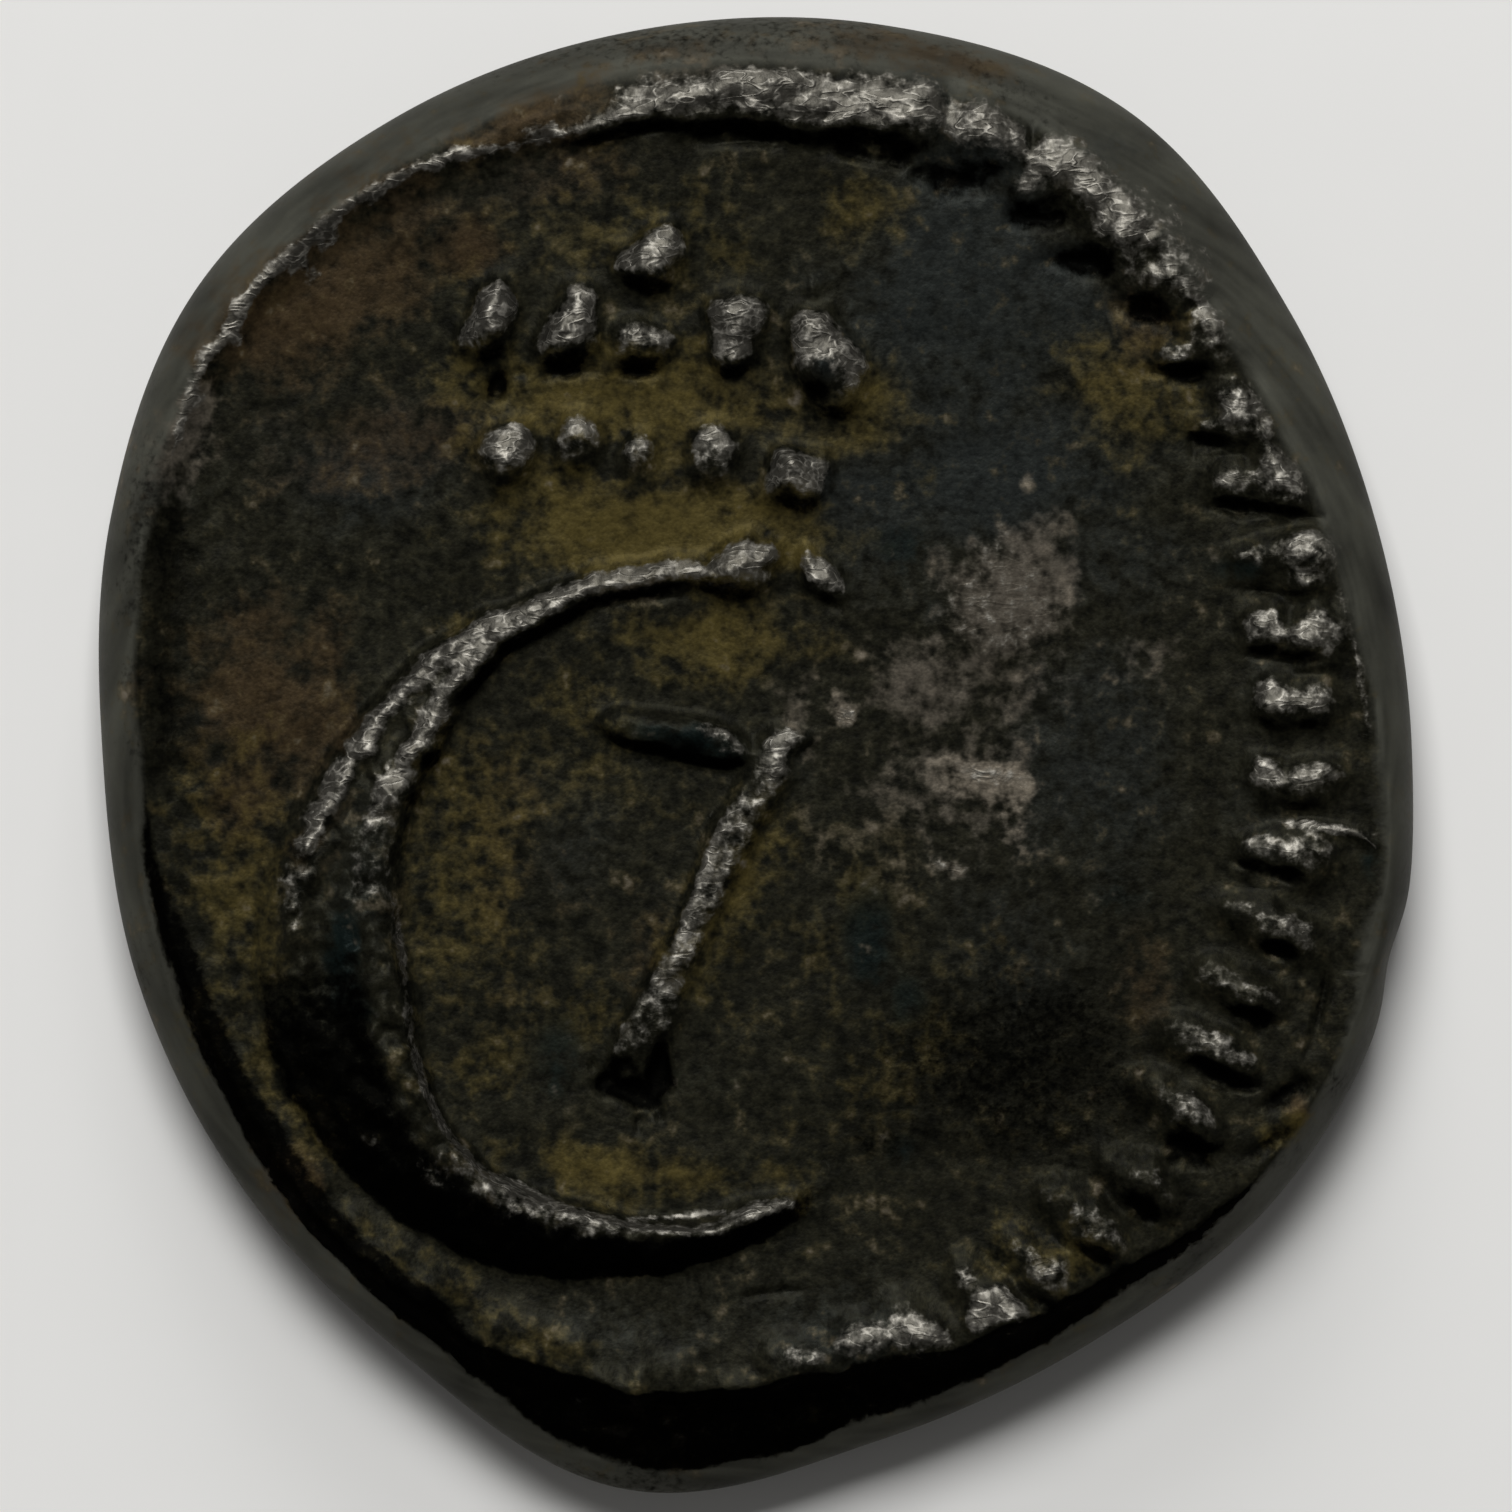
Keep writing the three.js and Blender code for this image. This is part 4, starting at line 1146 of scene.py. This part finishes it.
@dataclass
class Coin:
    """The whole coin, one piece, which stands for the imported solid."""

    obverse: Obverse = Obverse()
    reverse: Reverse = Reverse()
    toning: Toning = Toning()
    cells: int = 400
    flat_share: float = 0.9
    flat_reach: float = 0.93
    edge_strip: float = 0.16
    most_triangles: int = 190_000

    def build(self) -> bpy.types.Object:
        """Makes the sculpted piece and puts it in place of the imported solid."""
        mesh = self.slab()
        self.sculpt(mesh)
        self.weld(mesh)
        coin = bpy.data.objects.new("struck_coin", mesh)
        bpy.context.scene.collection.objects.link(coin)
        self.thin(coin)
        self.crease(coin.data)
        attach(coin, "root")
        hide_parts("silver_coin")
        return coin

    def dress(self, coin: bpy.types.Object) -> None:
        """Gives the piece its finish."""
        coin.data.materials.append(TonedSilver().material())

    def slab(self) -> bpy.types.Mesh:
        """A thin square slab with fine cells, which the sculpting rounds into the flan."""
        slab = bmesh.new()
        cells = self.cells
        bmesh.ops.create_grid(slab, x_segments=cells, y_segments=cells, size=1.0)
        lifted = bmesh.ops.extrude_face_region(slab, geom=slab.faces[:])["geom"]
        upper = [part for part in lifted if isinstance(part, bmesh.types.BMVert)]
        bmesh.ops.translate(slab, verts=upper, vec=(0.0, 0.0, 1.0))
        bmesh.ops.recalc_face_normals(slab, faces=slab.faces[:])
        for face in slab.faces:
            face.smooth = True
        mesh = bpy.data.meshes.new("struck_coin")
        slab.to_mesh(mesh)
        slab.free()
        return mesh

    def rounded(self, across: Field, up: Field) -> tuple[Field, Field]:
        """Draws the square's places out to the flan's outline, in half lengths."""
        wide = np.abs(across) > np.abs(up)
        reach = np.where(wide, across, up)
        safe = np.where(np.abs(reach) < 1e-9, 1e-9, reach)
        turn = np.where(wide, up / safe, 2.0 - across / safe) * np.pi / 4
        angle = turn + np.where(reach < 0, np.pi, 0.0)
        reach = np.abs(reach)
        rim = (reach - self.flat_share) / (1 - self.flat_share)
        over = self.flat_reach + (1 - self.flat_reach) * np.sin(np.clip(rim, 0, 1) * np.pi / 2)
        share = np.where(rim > 0, over, reach * self.flat_reach / self.flat_share)
        radius = share * self.obverse.flan.edge(angle)
        return radius * np.cos(angle), radius * np.sin(angle)

    def sculpt(self, mesh: bpy.types.Mesh) -> None:
        """Moves the slab's points to the coin's form and keeps the tones on them."""
        count = len(mesh.vertices)
        places = np.empty(count * 3)
        mesh.vertices.foreach_get("co", places)
        places = places.reshape(count, 3)
        side = round((count / 2) ** 0.5)
        columns = np.rint((places[:, 0] + 1) / 2 * (side - 1)).astype(int)
        rows = np.rint((places[:, 1] + 1) / 2 * (side - 1)).astype(int)
        upper = places[:, 2] > 0.5
        steps = np.linspace(-1.0, 1.0, side)
        across, up = np.meshgrid(steps, steps, indexing="ij")
        u, v = self.rounded(across, up)
        tones = {tone: np.zeros(count, dtype=np.float32) for tone in Tone}
        for chosen, face, sign in ((upper, self.obverse, 1.0), (~upper, self.reverse, -1.0)):
            height, relief, sunk = face.height(u, v)
            here = columns[chosen], rows[chosen]
            sheets = (u * HALF_LENGTH, v * HALF_LENGTH, height)
            places[chosen] = np.stack([sheet[here] for sheet in sheets], axis=1)
            painted = self.toning.paint(u, v, sign * height, relief, sunk, sign > 0)
            for tone, values in painted.items():
                tones[tone][chosen] = values[here]
        mesh.vertices.foreach_set("co", (places * MILLIMETRE).ravel())
        for tone, values in tones.items():
            mesh.attributes.new(tone.value, "FLOAT", "POINT").data.foreach_set("value", values)
        mesh.update()

    def weld(self, mesh: bpy.types.Mesh) -> None:
        """Joins the two faces along the flan's widest line."""
        shell = bmesh.new()
        shell.from_mesh(mesh)
        bmesh.ops.remove_doubles(shell, verts=shell.verts[:], dist=0.001 * MILLIMETRE)
        bmesh.ops.recalc_face_normals(shell, faces=shell.faces[:])
        shell.to_mesh(mesh)
        shell.free()

    def thin(self, coin: bpy.types.Object) -> None:
        """Merges cells where the surface is plain, until the piece is light enough."""
        triangles = 2 * len(coin.data.polygons)
        if triangles <= self.most_triangles:
            return
        group = coin.vertex_groups.new(name="inner places")
        widest, strip = EQUATOR * MILLIMETRE, self.edge_strip * MILLIMETRE
        inner = [v.index for v in coin.data.vertices if abs(v.co.z - widest) > strip]
        group.add(inner, 1.0, "REPLACE")
        modifier = coin.modifiers.new("plain places", "DECIMATE")
        modifier.vertex_group = group.name
        modifier.ratio = self.most_triangles / triangles
        graph = bpy.context.evaluated_depsgraph_get()
        shown = coin.evaluated_get(graph)
        thinned = bpy.data.meshes.new_from_object(
            shown, preserve_all_data_layers=True, depsgraph=graph
        )
        coin.modifiers.clear()
        coin.vertex_groups.clear()
        dense, coin.data = coin.data, thinned
        bpy.data.meshes.remove(dense)
        thinned.name = "struck_coin"

    def crease(self, mesh: bpy.types.Mesh) -> None:
        """Keeps the two faces' shading apart along the widest line."""
        widest = EQUATOR * MILLIMETRE
        shell = bmesh.new()
        shell.from_mesh(mesh)
        for edge in shell.edges:
            sides = [face.calc_center_median().z > widest for face in edge.link_faces]
            edge.smooth = len(set(sides)) < 2
        shell.to_mesh(mesh)
        shell.free()


@dataclass
class Studio:
    """Pale floor, plain soft light and the camera straight over the coin."""

    floor_half: float = 0.4
    lens: float = 500.0
    sensor: float = 36.0
    key_place: tuple[float, float, float] = (-0.02, 0.15, 0.26)
    key_side: float = 0.13
    key_power: float = 0.82
    low_place: tuple[float, float, float] = (0.0, 0.3, 0.14)
    low_side: float = 0.14
    low_power: float = 0.4
    side_reach: float = 0.3
    side_rise: float = 0.06
    side_size: float = 0.15
    side_power: float = 0.06
    sky: float = 0.09

    def build(self) -> None:
        """Sets up everything that isn't the coin."""
        self.floor()
        self.lamp("key", self.key_place, self.key_side, self.key_power)
        self.lamp("low", self.low_place, self.low_side, self.low_power)
        for name, side in (("left", -1), ("right", 1)):
            place = (side * self.side_reach, 0.0, self.side_rise)
            self.lamp(name, place, self.side_size, self.side_power)
        self.world()
        self.camera()

    def floor(self) -> None:
        """Lays the pale board at the coin's resting height."""
        sheet = bmesh.new()
        bmesh.ops.create_grid(sheet, x_segments=8, y_segments=8, size=self.floor_half)
        mesh = bpy.data.meshes.new("board")
        sheet.to_mesh(mesh)
        sheet.free()
        mesh.materials.append(PaleBoard().material())
        board = bpy.data.objects.new("board", mesh)
        bpy.context.scene.collection.objects.link(board)

    def lamp(self, name: str, place: Row, side: float, power: float) -> None:
        """Hangs a soft square lamp that faces the coin."""
        light = bpy.data.lights.new(name, "AREA")
        light.shape, light.size, light.energy = "SQUARE", side, power
        lamp = bpy.data.objects.new(name, light)
        lamp.location = place
        lamp.rotation_euler = (-Vector(place)).to_track_quat("-Z", "Y").to_euler()
        bpy.context.scene.collection.objects.link(lamp)

    def world(self) -> None:
        """A dim even sky, so that the shadows aren't black."""
        world = bpy.data.worlds.new("studio")
        world.use_nodes = True
        ground = world.node_tree.nodes["Background"]
        ground.inputs["Color"].default_value = (1.0, 0.99, 0.97, 1.0)
        ground.inputs["Strength"].default_value = self.sky
        bpy.context.scene.world = world

    def camera(self) -> None:
        """Looks straight down, from where the photograph's frame just holds the coin."""
        data = bpy.data.cameras.new("camera")
        data.lens, data.sensor_width = self.lens, self.sensor
        data.clip_start, data.clip_end = 0.01, 10.0
        frame_side = FRAME_ROWS / HALF_ROWS * HALF_LENGTH * MILLIMETRE
        u, v = spot(FRAME_ROWS / 2, FRAME_ROWS / 2)
        rise = EQUATOR * MILLIMETRE + frame_side * self.lens / self.sensor
        camera = bpy.data.objects.new("camera", data)
        scale = HALF_LENGTH * MILLIMETRE
        camera.location = (u * scale, v * scale, rise)
        bpy.context.scene.collection.objects.link(camera)
        bpy.context.scene.camera = camera


def main() -> None:
    """Builds the studio and the coin, and reports each piece."""
    logging.basicConfig(level=logging.INFO, format="%(name)s: %(message)s")
    bpy.context.scene.view_settings.view_transform = "Standard"
    Studio().build()
    LOG.info("studio is set")
    coin = Coin()
    piece = coin.build()
    coin.dress(piece)
    LOG.info("%s has %d faces", piece.name, len(piece.data.polygons))


if __name__ == "__main__":
    main()
